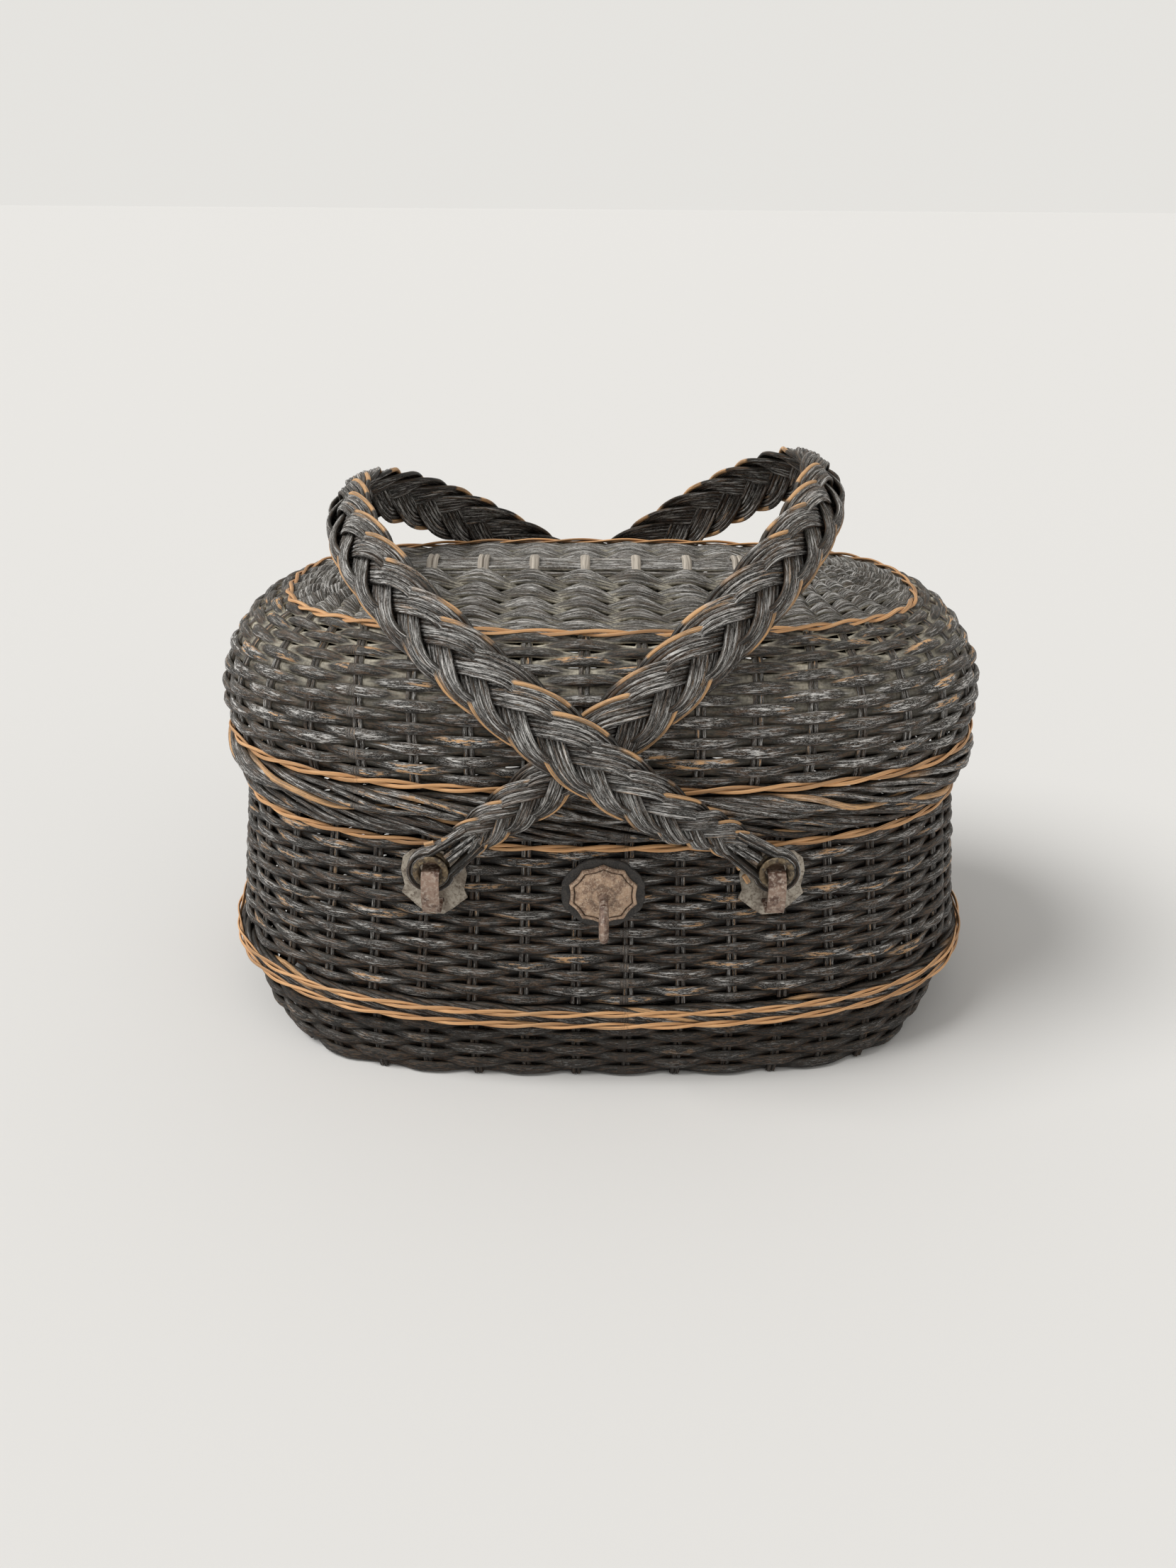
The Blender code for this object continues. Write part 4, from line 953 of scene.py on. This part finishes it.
# %% Floor
FLOOR_CORE = 78 * MM
CORE_NARROW = np.array([1.0, 0.30])
FLOOR_ROWS = 19
floor_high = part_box("floor_mat")[1]
mat_edge = Ring(outline(floor_high.x, FOOT_DEPTH_GAIN + 0.5 * MM, FOOT_POWER), even_knots)
mat_core = Ring(outline(FLOOR_CORE) * CORE_NARROW, even_knots)
mat_z = middle_z("floor_mat")


def on_mat(u, share, z):
    """A place on the floor: share 0 is at its long middle and 1 at its edge."""
    return path(*(mat_core(u) * (1 - share) + mat_edge(u) * share).T, z)


mat = Rods()
u = around(BODY_STAKES, 5)
for row in range(FLOOR_ROWS):
    wave = np.cos(np.pi * (u + row))
    line = on_mat(u, (row + 0.5) / FLOOR_ROWS, mat_z + 0.9 * MM * wave)
    mat.add(line, UP, 1.75 * MM, 1.2 * MM, closed=True, sides=6, deep=(1 - wave) / 2)
share = np.linspace(0, 1, 8)[:, None]
for k in range(BODY_STAKES):
    line = on_mat(np.full(8, float(k)), share, mat_z)
    mat.add(line, UP, 1.8 * MM, 1.0 * MM, sides=6, deep=0.7)
x = np.linspace(-FLOOR_CORE * 0.98, FLOOR_CORE * 0.98, 12)
for k in range(-3, 4):
    line = path(x, k * 4.2 * MM, mat_z + 0.4 * MM)
    mat.add(line, UP, 2.1 * MM, 1.4 * MM, sides=6, deep=0.2)
y = np.linspace(-1, 1, 9) * 17 * MM
for k in range(-3, 4):
    mat.add(path(k * 22 * MM, y, mat_z - 0.5 * MM), UP, 2.4 * MM, 1.3 * MM, sides=6, deep=0.5)
mat.make("floor_weave", willow["foot"], "basket", "floor_mat")

# %% [markdown]
# ## Lower band
#
# A wale: several rods worked together, each passing in front of two or three stakes and
# behind one, so the front shows long slanting strokes. A pair of natural rods runs above
# and below it. The strokes are rope strands laid round the basket.

# %% Lower band
band_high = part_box("lower_band")[1]
band_ring = Ring(outline((wall_high.x + band_high.x) / 2 - 0.4 * MM), even_knots)
strands = dict(count=8, laps=12, reach=3.3 * MM, depth=1.9 * MM, half=1.35 * MM, seed=60)
rope_band(
    "lower_wale", "lower_band", band_ring, 2.1 * MM, willow["walls"], "basket",
    **strands, rough=0.7, natural=(2,),
)  # fmt: skip
for label, seed in (("low", 5), ("high", 8)):
    node = "lower_band_line_" + label
    ring = Ring(outline(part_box(node)[1].x - 0.6 * MM), even_knots)
    line = hoop(ring, middle_z(node), 0.9 * MM)
    twined_line(
        "lower_marker_" + label, line, BODY_STAKES, "basket", node, seed=seed, half=0.75 * MM
    )

# %% [markdown]
# ## Rolled borders
#
# The ends of the stakes are turned down and woven away as a thick rolled edge, on the body
# and again on the lid. It shows long diagonal strokes, each of three or four rods. One
# layer of nine or eleven uneven rope strands, close together, gives this heaped look.

# %% Rolled borders
border_ring = Ring(outline(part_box("body_border")[1].x - 2.2 * MM), even_knots)
strands = dict(count=9, laps=9, reach=3.3 * MM, depth=2.2 * MM, half=1.3 * MM, seed=80)
rope_band(
    "body_border_rods", "body_border", border_ring, 1.4 * MM, willow["walls"], "basket",
    **strands, rough=1.15, natural=(4,),
)  # fmt: skip
lid_border_ring = lid_ring(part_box("lid_border")[1].x - 2.6 * MM)
strands = dict(count=11, laps=8, reach=4.0 * MM, depth=2.7 * MM, half=1.3 * MM, seed=90)
rope_band(
    "lid_border_rods", "lid_border", lid_border_ring, 1.6 * MM, willow["lid"], "lid",
    **strands, rough=1.1, natural=(3, 8),
)  # fmt: skip

# %% [markdown]
# ## Lid wall
#
# The lid's wall rises nearly straight, bulges a little and turns in near the top. A smooth
# curve through the same shares as the solid gives its profile, and the rows follow it at
# even distances along the curve. Three plain rods run inside the stakes behind the marker
# line, as the first rods laid on a border do, and close the slots beside it.

# %% Lid wall
LID_CURVE_SHARES = (
    (0.0, 0.0), (0.22, -0.06), (0.48, -0.02), (0.70, 0.17), (0.88, 0.50), (1.0, 1.0),
)  # fmt: skip
LID_FOOT_HALF = 164.5 * MM
OVAL_HALF = 135.5 * MM
LID_ROWS, LID_RINGS = 16, 30
FIRST_LID_ROW, LAST_LID_ROW = 5.7 * MM, 2.0 * MM
INSIDE_STAKES = WALL_INSET + 1.9 * MM
lid_low, lid_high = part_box("lid_wall")
lid_rings, lid_heights, profile = [], [], []
for up_share, way_in in zip(*curve_through(LID_CURVE_SHARES, LID_RINGS)):
    half = LID_FOOT_HALF - (LID_FOOT_HALF - OVAL_HALF) * way_in
    lid_rings.append(lid_ring(half))
    lid_heights.append(lid_low.z + (lid_high.z - lid_low.z) * up_share)
    profile.append((half, lid_heights[-1]))
lid_wall = Wall(lid_rings, lid_heights)
climb = distances(np.array(profile))


def lid_level(distance):
    """The level at a distance up the curve of the lid's wall."""
    return np.interp(distance, climb, np.arange(len(climb)))


row_places = np.linspace(FIRST_LID_ROW, climb[-1] - LAST_LID_ROW, LID_ROWS)
print("lid row pitch mm: %.2f" % ((row_places[1] - row_places[0]) / MM))
lid = Rods()
weave_rows(lid, lid_wall, lid_level(row_places), 2.6 * MM, seed=120, wobble=0.16)
stake_pairs(lid, lid_wall, 0.052, steps=24)
points, rise, out = lid_wall.lay(0.0, around(LID_STAKES, 6))
for step_up in (-1.2 * MM, 0.9 * MM, 3.1 * MM):
    line = points - out * INSIDE_STAKES + rise * step_up
    lid.add(line, out, 1.3 * MM, 1.0 * MM, closed=True, sides=7, deep=0.6)
lid.make("lid_weave", willow["lid"], "lid", "lid_wall")

line_level = float(lid_level(np.interp(middle_z("lid_line"), lid_heights, climb)))
low_line = lid_wall.line(line_level, 0.5 * MM)
high_line = lid_wall.line(LID_RINGS - 1 - 1e-4, 0.9 * MM)
sizes = dict(seed=12, half=0.85 * MM, apart=1.0 * MM)
twined_line("lid_marker", low_line, LID_STAKES, "lid", "lid_line", **sizes)
sizes = dict(seed=14, half=0.8 * MM, apart=0.95 * MM)
twined_line("lid_top_marker", high_line, LID_STAKES, "lid", "lid_top_line", **sizes)

# %% [markdown]
# ## Lid top
#
# The top starts from a bundle of rods along the crest. Round it go rows in which two
# strands of several thin rods twist together, one over and one under each stick. From above
# every row shows a leaf-shaped lobe over each stick, and pale dust fills the valleys.

# %% Lid top
TOP_DOME_SHARES = ((0.0, 1.0), (0.14, 0.72), (0.34, 0.34), (0.60, 0.16), (1.0, 0.0))
# share of the way out, rods in each strand, and how high the row stands
TOP_ROWS = (
    (0.088, 6, 1.0), (0.285, 5, 1.0), (0.475, 5, 1.0), (0.665, 5, 1.0),
    (0.81, 2, 0.6), (0.875, 2, 0.5), (0.94, 2, 0.4),
)  # fmt: skip
ROD_HALF = 1.18 * MM
BUNDLE_PITCH = 1.95 * MM
BUNDLE_LIFT = 3.3 * MM
BUNDLE_CROSS = 1.7 * MM
top_low, top_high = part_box("lid_top")
slath_low, slath_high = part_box("lid_slath")
slath_half = (slath_high.y - slath_low.y) / 2
core_ring = Ring(oblong(slath_high.x, slath_half, 0.35, 0.9), lid_knots)
oval_ring = lid_ring(OVAL_HALF)
dome_at, dome_up = zip(*TOP_DOME_SHARES)


def top_place(u, share):
    """A place on the lid's top: share 0 is at the bundle and 1 at the oval line."""
    inner, outer = core_ring(u), oval_ring(u)
    xy = inner + (outer - inner) * np.asarray(share)[..., None]
    return path(*xy.T, top_low.z + (top_high.z - top_low.z) * np.interp(share, dome_at, dome_up))


top = Rods()
u = around(LID_STAKES, 10)


def uneven(waves, offset):
    return smooth_noise(len(u), waves, 300 + row * 20 + strand * 9 + k + offset)


for row, (share, count, strength) in enumerate(TOP_ROWS):
    base = top_place(u, share)
    outward = unit(top_place(u, share + 0.01) - base)
    for strand in (0, 1):
        turn = np.pi * (u + strand + row)
        high, aside = np.cos(turn), np.sin(turn)
        for k in range(count):
            place = k - (count - 1) / 2
            packed = place * BUNDLE_PITCH * (1 - 0.42 * aside**2)
            sideways = packed + 0.45 * MM * uneven(26, 0) + BUNDLE_CROSS * strength * aside
            lift = BUNDLE_LIFT * strength * (0.75 * high + 0.25 * high**3) - 0.16 * MM * place**2
            line = base + outward * sideways[:, None]
            line[:, 2] += lift - 1.3 * MM + 0.25 * MM * uneven(30, 500)
            size = ROD_HALF * (0.95 + 0.16 * uneven(30, 700))
            top.add(line, UP, size, size * 0.9, closed=True, sides=6, deep=0.62 - 0.58 * high)
top.make("lid_top_weave", willow["lid top"], "lid", "lid_top")

# %% Sticks and bundle on the lid
BUNDLE_RODS, BUNDLE_POINTS = 6, 40
BEND_FROM, BEND_LENGTH, BEND_DROP = 78 * MM, 26 * MM, 3.2 * MM
bundle = Rods()
for k in range(-1, BUNDLE_RODS + 1):
    x = np.linspace(slath_low.x, slath_high.x, BUNDLE_POINTS)
    y = (k - (BUNDLE_RODS - 1) / 2) * slath_half * 2 / BUNDLE_RODS
    y = y + 0.3 * MM * smooth_noise(BUNDLE_POINTS, 5, 400 + k, False)
    z = slath_low.z + 0.9 * MM + 0.25 * MM * smooth_noise(BUNDLE_POINTS, 7, 420 + k, False)
    z = z - BEND_DROP * np.clip((np.abs(x) - BEND_FROM) / BEND_LENGTH, 0, 1) ** 2
    z = z - (1.8 * MM if k in (-1, BUNDLE_RODS) else 0.0)
    bundle.add(path(x, y, z), UP, 1.45 * MM, 1.1 * MM, sides=7, deep=0.1)
bundle.make("lid_bundle", willow["lid top"], "lid", "lid_slath")

STICKS, DOUBLE_STICKS = 9, (1, 2, 7)
PAST_BUNDLE = 4.6 * MM
sticks = Rods()
y = np.linspace(-1, 1, 25) * (slath_half + PAST_BUNDLE)
bend = np.clip((np.abs(y) - slath_half * 0.35) / (slath_half * 0.65 + PAST_BUNDLE), 0, 1)
z = slath_high.z + 0.6 * MM - bend**1.6 * 7.5 * MM
for i in range(STICKS):
    x = STICK_MIDDLE + STICK_PITCH * (i - 4)
    offsets, half = ((-1.25, 1.25), 1.25 * MM) if i in DOUBLE_STICKS else ((0.0,), 2.1 * MM)
    for off in offsets:
        sticks.add(path(x + off * MM, y, z), UP, half, 1.0 * MM, deep=0.05)
names = ["lid_stick_%d" % (i + 1) for i in range(STICKS)]
sticks.make("lid_sticks", pale_willow, "lid", *names)

under = Rods()
share = np.linspace(0.02, 1.0, 16)
for k in range(LID_STAKES):
    for hand in (-1, 1):
        line = top_place(np.full(16, k + hand * 0.06), share)
        line[:, 2] -= 0.6 * MM
        under.add(line, UP, 1.2 * MM, 1.0 * MM, sides=6, deep=0.8)
under.make("lid_stick_tails", willow["lid top"], "lid")

# %% [markdown]
# ## Plaited handles
#
# Each handle is a flat plait. A strand swings from edge to edge as a sine, and rises and
# falls twice as fast, so the same curve carries it over on the way out and under on the
# way back. Each visible band lasts almost two spacings, which takes five strands, over two
# and under two; the solid keeps three broader ones. Every strand is six parallel rods, as
# on the real plait. The rods at the outer edge are rubbed bare where hands and the lid
# have worn them.

# %% The line of a handle
eyelet_low, eyelet_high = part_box("handle_left_eyelet_back")
PIVOT_X, PIVOT_Y = 68 * MM, (eyelet_low.y + eyelet_high.y) / 2
PIVOT_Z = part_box("handle_left_eyelet_front")[0].z + 7.1 * MM
INNER_TILT, OUTER_TILT = math.radians(39.5), math.radians(34.5)
NECK_REACH, FLARE_END, CROWN_START = 18 * MM, 56 * MM, 62 * MM
INNER_FLARE, OUTER_FLARE = 3.2 * MM, 13.8 * MM
INNER_REACH, OUTER_REACH = 209 * MM, 215 * MM
PLAIT_SWING, PLAIT_RISE = 9.6 * MM, 2.2 * MM
EDGE_ROLL = math.radians(38)
STRAND_HALF_WIDTH = 5.2 * MM
BAND_SPACING = 18 * MM
PLAIT_LEAD = math.radians(5)
TAPER_LENGTH, TAPER_END_SHARE = 100 * MM, 0.56
RIGHT = ("handle_right", PIVOT_X, math.pi - OUTER_TILT)
LEFT = ("handle_left", -PIVOT_X, INNER_TILT)


def bail_line(leg_y, reach):
    """Distance along, reach from the hinge and place across, as in the solid."""
    t = np.linspace(0, 1, 80)
    w = NECK_REACH + (CROWN_START - NECK_REACH) * t
    flare = np.clip((w - NECK_REACH) / (FLARE_END - NECK_REACH), 0, 1)
    y = PIVOT_Y + (leg_y - PIVOT_Y) * flare * flare * (3 - 2 * flare)
    t = np.linspace(0, np.pi / 2, 200)[1:]
    w = np.concatenate([w, CROWN_START + (reach - CROWN_START) * np.sin(t)])
    y = -np.concatenate([y, leg_y * np.maximum(np.cos(t), 0)])
    w, y = np.concatenate([w, w[-2::-1]]), np.concatenate([y, -y[-2::-1]])
    run = np.concatenate([[0], np.cumsum(np.hypot(np.diff(w), np.diff(y)))])
    return run, w, y


def turned(local, angle):
    """Turns points or directions about the hinge's line, up from +X."""
    c, s = math.cos(angle), math.sin(angle)
    w, y, z = local.T
    return path(w * c - z * s, y, w * s + z * c)


def to_world(local, x, angle):
    return turned(local, angle) + (x, 0, PIVOT_Z)


# %% The plait
STRANDS, STRAND_RODS, SOLID_STRANDS = 5, 6, 3
PLAIT_ROD = 1.0 * MM
PLAIT_STEP = 2.2 * MM
WORN_FROM, WORN_TO = 22, 112  # degrees of a band's half turn that hands have rubbed


def build_plait(label, x, angle, flare, reach, material):
    run, w_at, y_at = bail_line(PIVOT_Y + flare, reach)
    length = run[-1]
    s = np.linspace(0, length, int(length / PLAIT_STEP))
    share = np.clip(np.minimum(s, length - s) / TAPER_LENGTH, 0, 1)
    k = TAPER_END_SHARE + (1 - TAPER_END_SHARE) * np.sin(share * np.pi / 2)
    rate = 2 * np.pi / (BAND_SPACING * STRANDS * k)
    turn = np.concatenate([[0], np.cumsum((rate[1:] + rate[:-1]) / 2 * np.diff(s))])
    w, y = np.interp(s, run, w_at), np.interp(s, run, y_at)
    before, after = np.maximum(s - length / 400, 0), np.minimum(s + length / 400, length)
    dw = np.interp(after, run, w_at) - np.interp(before, run, w_at)
    dy = np.interp(after, run, y_at) - np.interp(before, run, y_at)
    size = np.hypot(dw, dy)
    out = path(dy / size, -dw / size, 0.0)
    rods = Rods()

    def uneven(waves, offset):
        return smooth_noise(len(s), waves, 500 + strand * 10 + rod + offset, False)

    for strand in range(STRANDS):
        phase = turn + PLAIT_LEAD + 2 * np.pi * strand / STRANDS
        side = PLAIT_SWING * k * np.sin(phase)
        rise = -PLAIT_RISE * k * np.sin(2 * phase)
        centre = path(w, y, side) + out * rise[:, None]
        along = unit(np.gradient(centre, axis=0))
        wide = unit(np.cross(along, out))
        thick = unit(np.cross(wide, along))
        edgeward = np.sin(phase) * np.abs(np.sin(phase)) * EDGE_ROLL * np.sign(wide[:, 2])
        c, d = np.cos(edgeward)[:, None], np.sin(edgeward)[:, None]
        wide, thick = wide * c - thick * d, thick * c + wide * d
        past = 180 - np.degrees(phase) % 180
        worn = np.clip((past - WORN_FROM) / 12, 0, 1) * np.clip((WORN_TO - past) / 15, 0, 1)
        for rod in range(STRAND_RODS):
            a = (rod - (STRAND_RODS - 1) / 2) / ((STRAND_RODS - 1) / 2)
            wander = 0.16 * MM * uneven(30, 0)
            across = (a * (STRAND_HALF_WIDTH - PLAIT_ROD * 0.8) + wander) * k
            bow = 0.35 * MM * np.abs(np.sin(2 * phase)) * (1 - a * a) * k
            lump = 0.16 * MM * uneven(36, 40)
            line = centre + wide * across[:, None] + thick * (bow + lump)[:, None]
            half = PLAIT_ROD * k * (1 + 0.09 * uneven(16, 80))
            outermost = np.clip((a * np.sign(np.sin(phase) * wide[:, 2]) - 0.7) / 0.2, 0, 1)
            bare = outermost * worn * np.clip(0.55 + 1.2 * uneven(9, 120), 0, 1)
            deep = 0.45 + 0.45 * np.sin(2 * phase)
            line, facing = to_world(line, x, angle), turned(thick, angle)
            rods.add(line, facing, half, half * 0.92, deep=deep, bare=bare, both=True)
    nodes = ["%s_strand_%d" % (label, n + 1) for n in range(SOLID_STRANDS)]
    rods.make("%s_plait" % label, material, label, *nodes)


build_plait(*RIGHT, OUTER_FLARE, OUTER_REACH, willow["plaits"])
build_plait(*LEFT, INNER_FLARE, INNER_REACH, willow["left plait"])

# %% [markdown]
# ## End loops and eyelets
#
# At each end the rods of the plait part, go round a brass eyelet and come back into the
# neck. The loop is a bunch of rods on the same U-shaped line. The eyelet is a lathe turned
# about the hinge: a thin barrel with a rolled rim on each face.

# %% End loops
LOOP_LAYERS = ((6.9 * MM, 3.2 * MM), (8.55 * MM, 5.0 * MM))  # radius, and height at the neck
LOOP_DEPTHS = (-1.65 * MM, 0.0, 1.65 * MM)
LOOP_TURNS = np.linspace(math.radians(52), math.radians(308), 30)
LOOP_TAILS = (((17, 4.6), (12.5, 7.4)), ((9.5, 8.6), (6.0, 10.2)))  # in mm


def build_loop(label, x, angle, end, side):
    rods = Rods()
    for layer, (radius, meet) in enumerate(LOOP_LAYERS):
        for depth in LOOP_DEPTHS:
            w, z = radius * np.cos(LOOP_TURNS), radius * np.sin(LOOP_TURNS)
            lead = np.linspace(23 * MM, w[0] + 1.5 * MM, 8)
            ease = (lead - lead[-1]) / (lead[0] - lead[-1])
            z_lead = z[0] * (1 - ease) + meet * ease
            w = np.concatenate([lead, w, lead[::-1]])
            z = np.concatenate([z_lead, z, -z_lead[::-1]])
            seed = 700 + layer * 7 + int(depth * 1000) + int(x * 1000)
            jitter = 0.18 * MM * smooth_noise(len(w), 6, seed, False)
            line = path(w, side * PIVOT_Y + depth + jitter, z + jitter)
            out = turned(unit(path(w, 0.0, z)), angle)
            rods.add(to_world(line, x, angle), out, 0.98 * MM, 0.98 * MM, sides=7, deep=0.1)
    sideways = (0.0, side, 0.0)
    for depth in LOOP_DEPTHS:
        for z in (-1.15 * MM, 1.15 * MM):
            line = path(np.linspace(25 * MM, 8.6 * MM, 8), side * PIVOT_Y + depth * 0.8, z)
            line = to_world(line, x, angle)
            rods.add(line, sideways, 1.15 * MM, 1.0 * MM, sides=7, deep=0.3)
    for start, stop in LOOP_TAILS:
        w, z = np.linspace(start, stop, 5).T * MM
        line = to_world(path(w, side * (PIVOT_Y + 1.2 * MM), z), x, angle)
        rods.add(line, sideways, 1.0 * MM, 0.8 * MM, sides=6, deep=0.0, bare=1.0)
    name = "%s_loop_rods_%s" % (label, end)
    rods.make(name, willow["plaits"], label, "%s_loop_%s" % (label, end))


# %% Eyelets
EYELET_HALF, EYELET_STEPS, EYELET_SHARP = 2.75 * MM, 40, 50


def eyelet_profile(half):
    """A barrel with a rounded rolled rim at both ends, as (radius, y)."""
    turns = [math.pi * i / 8 for i in range(9)]
    radii = [5.85 * MM - 1.25 * MM * math.cos(turn) for turn in turns]
    rim = [(r, half + 0.75 * MM * math.sin(t) - 0.3 * MM) for r, t in zip(radii, turns)]
    inner, outer = (4.6 * MM, half - 0.9 * MM), (6.0 * MM, half - 0.4 * MM)
    one_end = [inner, *rim, outer, (5.5 * MM, half - 0.7 * MM)]
    return [(radius, -y) for radius, y in one_end] + one_end[::-1]


def lathe(name, profile, centre, steps, sharp, material, body, node):
    """Turns a closed profile of (radius, y) about the Y axis."""
    verts = []
    for angle in (2 * math.pi * i / steps for i in range(steps)):
        for radius, y in profile:
            swung = (radius * math.cos(angle), y, radius * math.sin(angle))
            verts.append(tuple(c + v for c, v in zip(centre, swung)))
    faces = quads(steps, len(profile), True)
    mesh_piece(name, verts, faces, material, body, [node], sharp)


for label, x, angle in (RIGHT, LEFT):
    for side, end in ((-1, "front"), (1, "back")):
        build_loop(label, x, angle, end, side)
        name, node = "%s_brass_%s" % (label, end), "%s_eyelet_%s" % (label, end)
        profile, centre = eyelet_profile(EYELET_HALF), (x, side * PIVOT_Y, PIVOT_Z)
        lathe(name, profile, centre, EYELET_STEPS, EYELET_SHARP, metal["Dull brass"], label, node)

# %% [markdown]
# ## Rosette, leather and eye
#
# The rosette is a thin pressed disc with ten shallow scallops, a raised rim, a dark groove
# inside it and a gently domed middle. It is made as rings of points: each ring shrinks the
# scalloped outline and takes its height from a small table. The leather under it is a
# looser disc.

# %% Rosette
SCALLOPS, SCALLOP_SHARE = 10, 0.085
DISC_STEPS, DISC_SHARP = 160, 60
LEATHER_THICK = 1.6 * MM
ROSETTE_Z = middle_z("rosette")
WALL_SLOPE = WALL_LEAN / wall_tall
# each ring is (share of the outline, height off the back in mm, how much of the scallops
# is kept, dirt)
# fmt: off
LEATHER_RINGS = (
    (0.96, 0.0, 1, 0), (1.0, 0.3, 1, 0), (1.0, 1.0, 1, 0), (0.975, 1.4, 1, 0), (0.93, 1.45, 1, 0),
)
ROSETTE_RINGS = (
    (0.97, 0.0, 1, 0), (1.0, 0.25, 1, 0), (1.0, 0.95, 1, 0.3), (0.98, 1.45, 1, 0.0),
    (0.93, 1.75, 0.97, 0.0), (0.895, 1.65, 0.95, 0.1), (0.88, 1.1, 0.94, 0.9),
    (0.865, 0.85, 0.92, 1.0), (0.85, 1.05, 0.9, 0.85), (0.83, 1.4, 0.88, 0.15),
    (0.76, 1.55, 0.75, 0.0), (0.68, 1.75, 0.55, 0.0), (0.55, 2.2, 0.3, 0.0),
    (0.42, 2.7, 0.1, 0.0), (0.34, 2.75, 0.0, 0.5), (0.29, 3.15, 0.0, 0.1),
    (0.20, 3.45, 0.0, 0.0), (0.12, 3.45, 0.0, 0.6),
)
# fmt: on


def pressed_disc(name, node, rings, back_y, material, scallop_share=0.0, ragged=0.0):
    """A disc as large as its solid, built ring by ring from the back at back_y."""
    low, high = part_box(node)
    half_x, half_z = (high.x - low.x) / 2, (high.z - low.z) / 2
    verts, grooves = [], []
    bumps = smooth_noise(DISC_STEPS, 17, 77)
    for shrink, off, keep, dark in rings:
        for i in range(DISC_STEPS):
            angle = 2 * math.pi * i / DISC_STEPS
            bite = scallop_share * keep * abs(math.cos(angle * SCALLOPS / 2))
            r = shrink * (1 - bite) * (1 + ragged * bumps[i])
            z = half_z * r * math.sin(angle)
            y = back_y - off * MM + WALL_SLOPE * z
            verts.append((half_x * r * math.cos(angle), y, ROSETTE_Z + z))
            grooves.append(dark * (0.75 + 0.25 * bumps[i * 3 % DISC_STEPS]))
    every = tuple(range(len(verts)))
    faces = quads(len(rings), DISC_STEPS, False) + [every[:DISC_STEPS], every[-DISC_STEPS:]]
    mesh_piece(name, verts, faces, material, "basket", [node], DISC_SHARP, groove=grooves)


leather_low, leather_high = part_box("rosette_leather")
wall_face = (leather_high.y + leather_low.y) / 2 + 0.7 * MM
leather, iron = metal["Black leather"], metal["Worn rosette metal"]
pressed_disc("rosette_pad", "rosette_leather", LEATHER_RINGS, wall_face, leather, ragged=0.03)
front = wall_face - LEATHER_THICK
pressed_disc("rosette_disc", "rosette", ROSETTE_RINGS, front, iron, SCALLOP_SHARE)

# %% [markdown]
# ## Iron work that keeps its solid
#
# The staples, their plates and the closure eye have the right shape in the solid model, so
# they stay and get a fine bevel and an aged finish. A bevel four tenths of a millimetre
# wide is enough for the light to catch the edges.

# %% Iron work
BEVEL_WIDTH, BEVEL_STEPS, BEVEL_FROM = 0.4 * MM, 3, math.radians(35)
IRON_WORK = {
    "handle_staple": metal["Rusted iron"],
    "rosette_eye": metal["Rusted iron"],
    "staple_plate": metal["Grey sheet metal"],
}
kept = 0
for name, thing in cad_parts.items():
    for start, finish in IRON_WORK.items():
        if name.startswith(start):
            thing.data.materials.clear()
            thing.data.materials.append(finish)
            bevel = thing.modifiers.new("soft edges", "BEVEL")
            bevel.width = BEVEL_WIDTH
            bevel.segments = BEVEL_STEPS
            bevel.limit_method = "ANGLE"
            bevel.angle_limit = BEVEL_FROM
            kept += 1
print("solids kept:", kept)

# %% [markdown]
# ## Sizes of the solid and the dressed model
#
# The dressed model has to keep the size of the solid one.

# %% Sizes
low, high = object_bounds()
sizes = {"cad": [list(cad_low), list(cad_high)], "visual": [list(low), list(high)]}
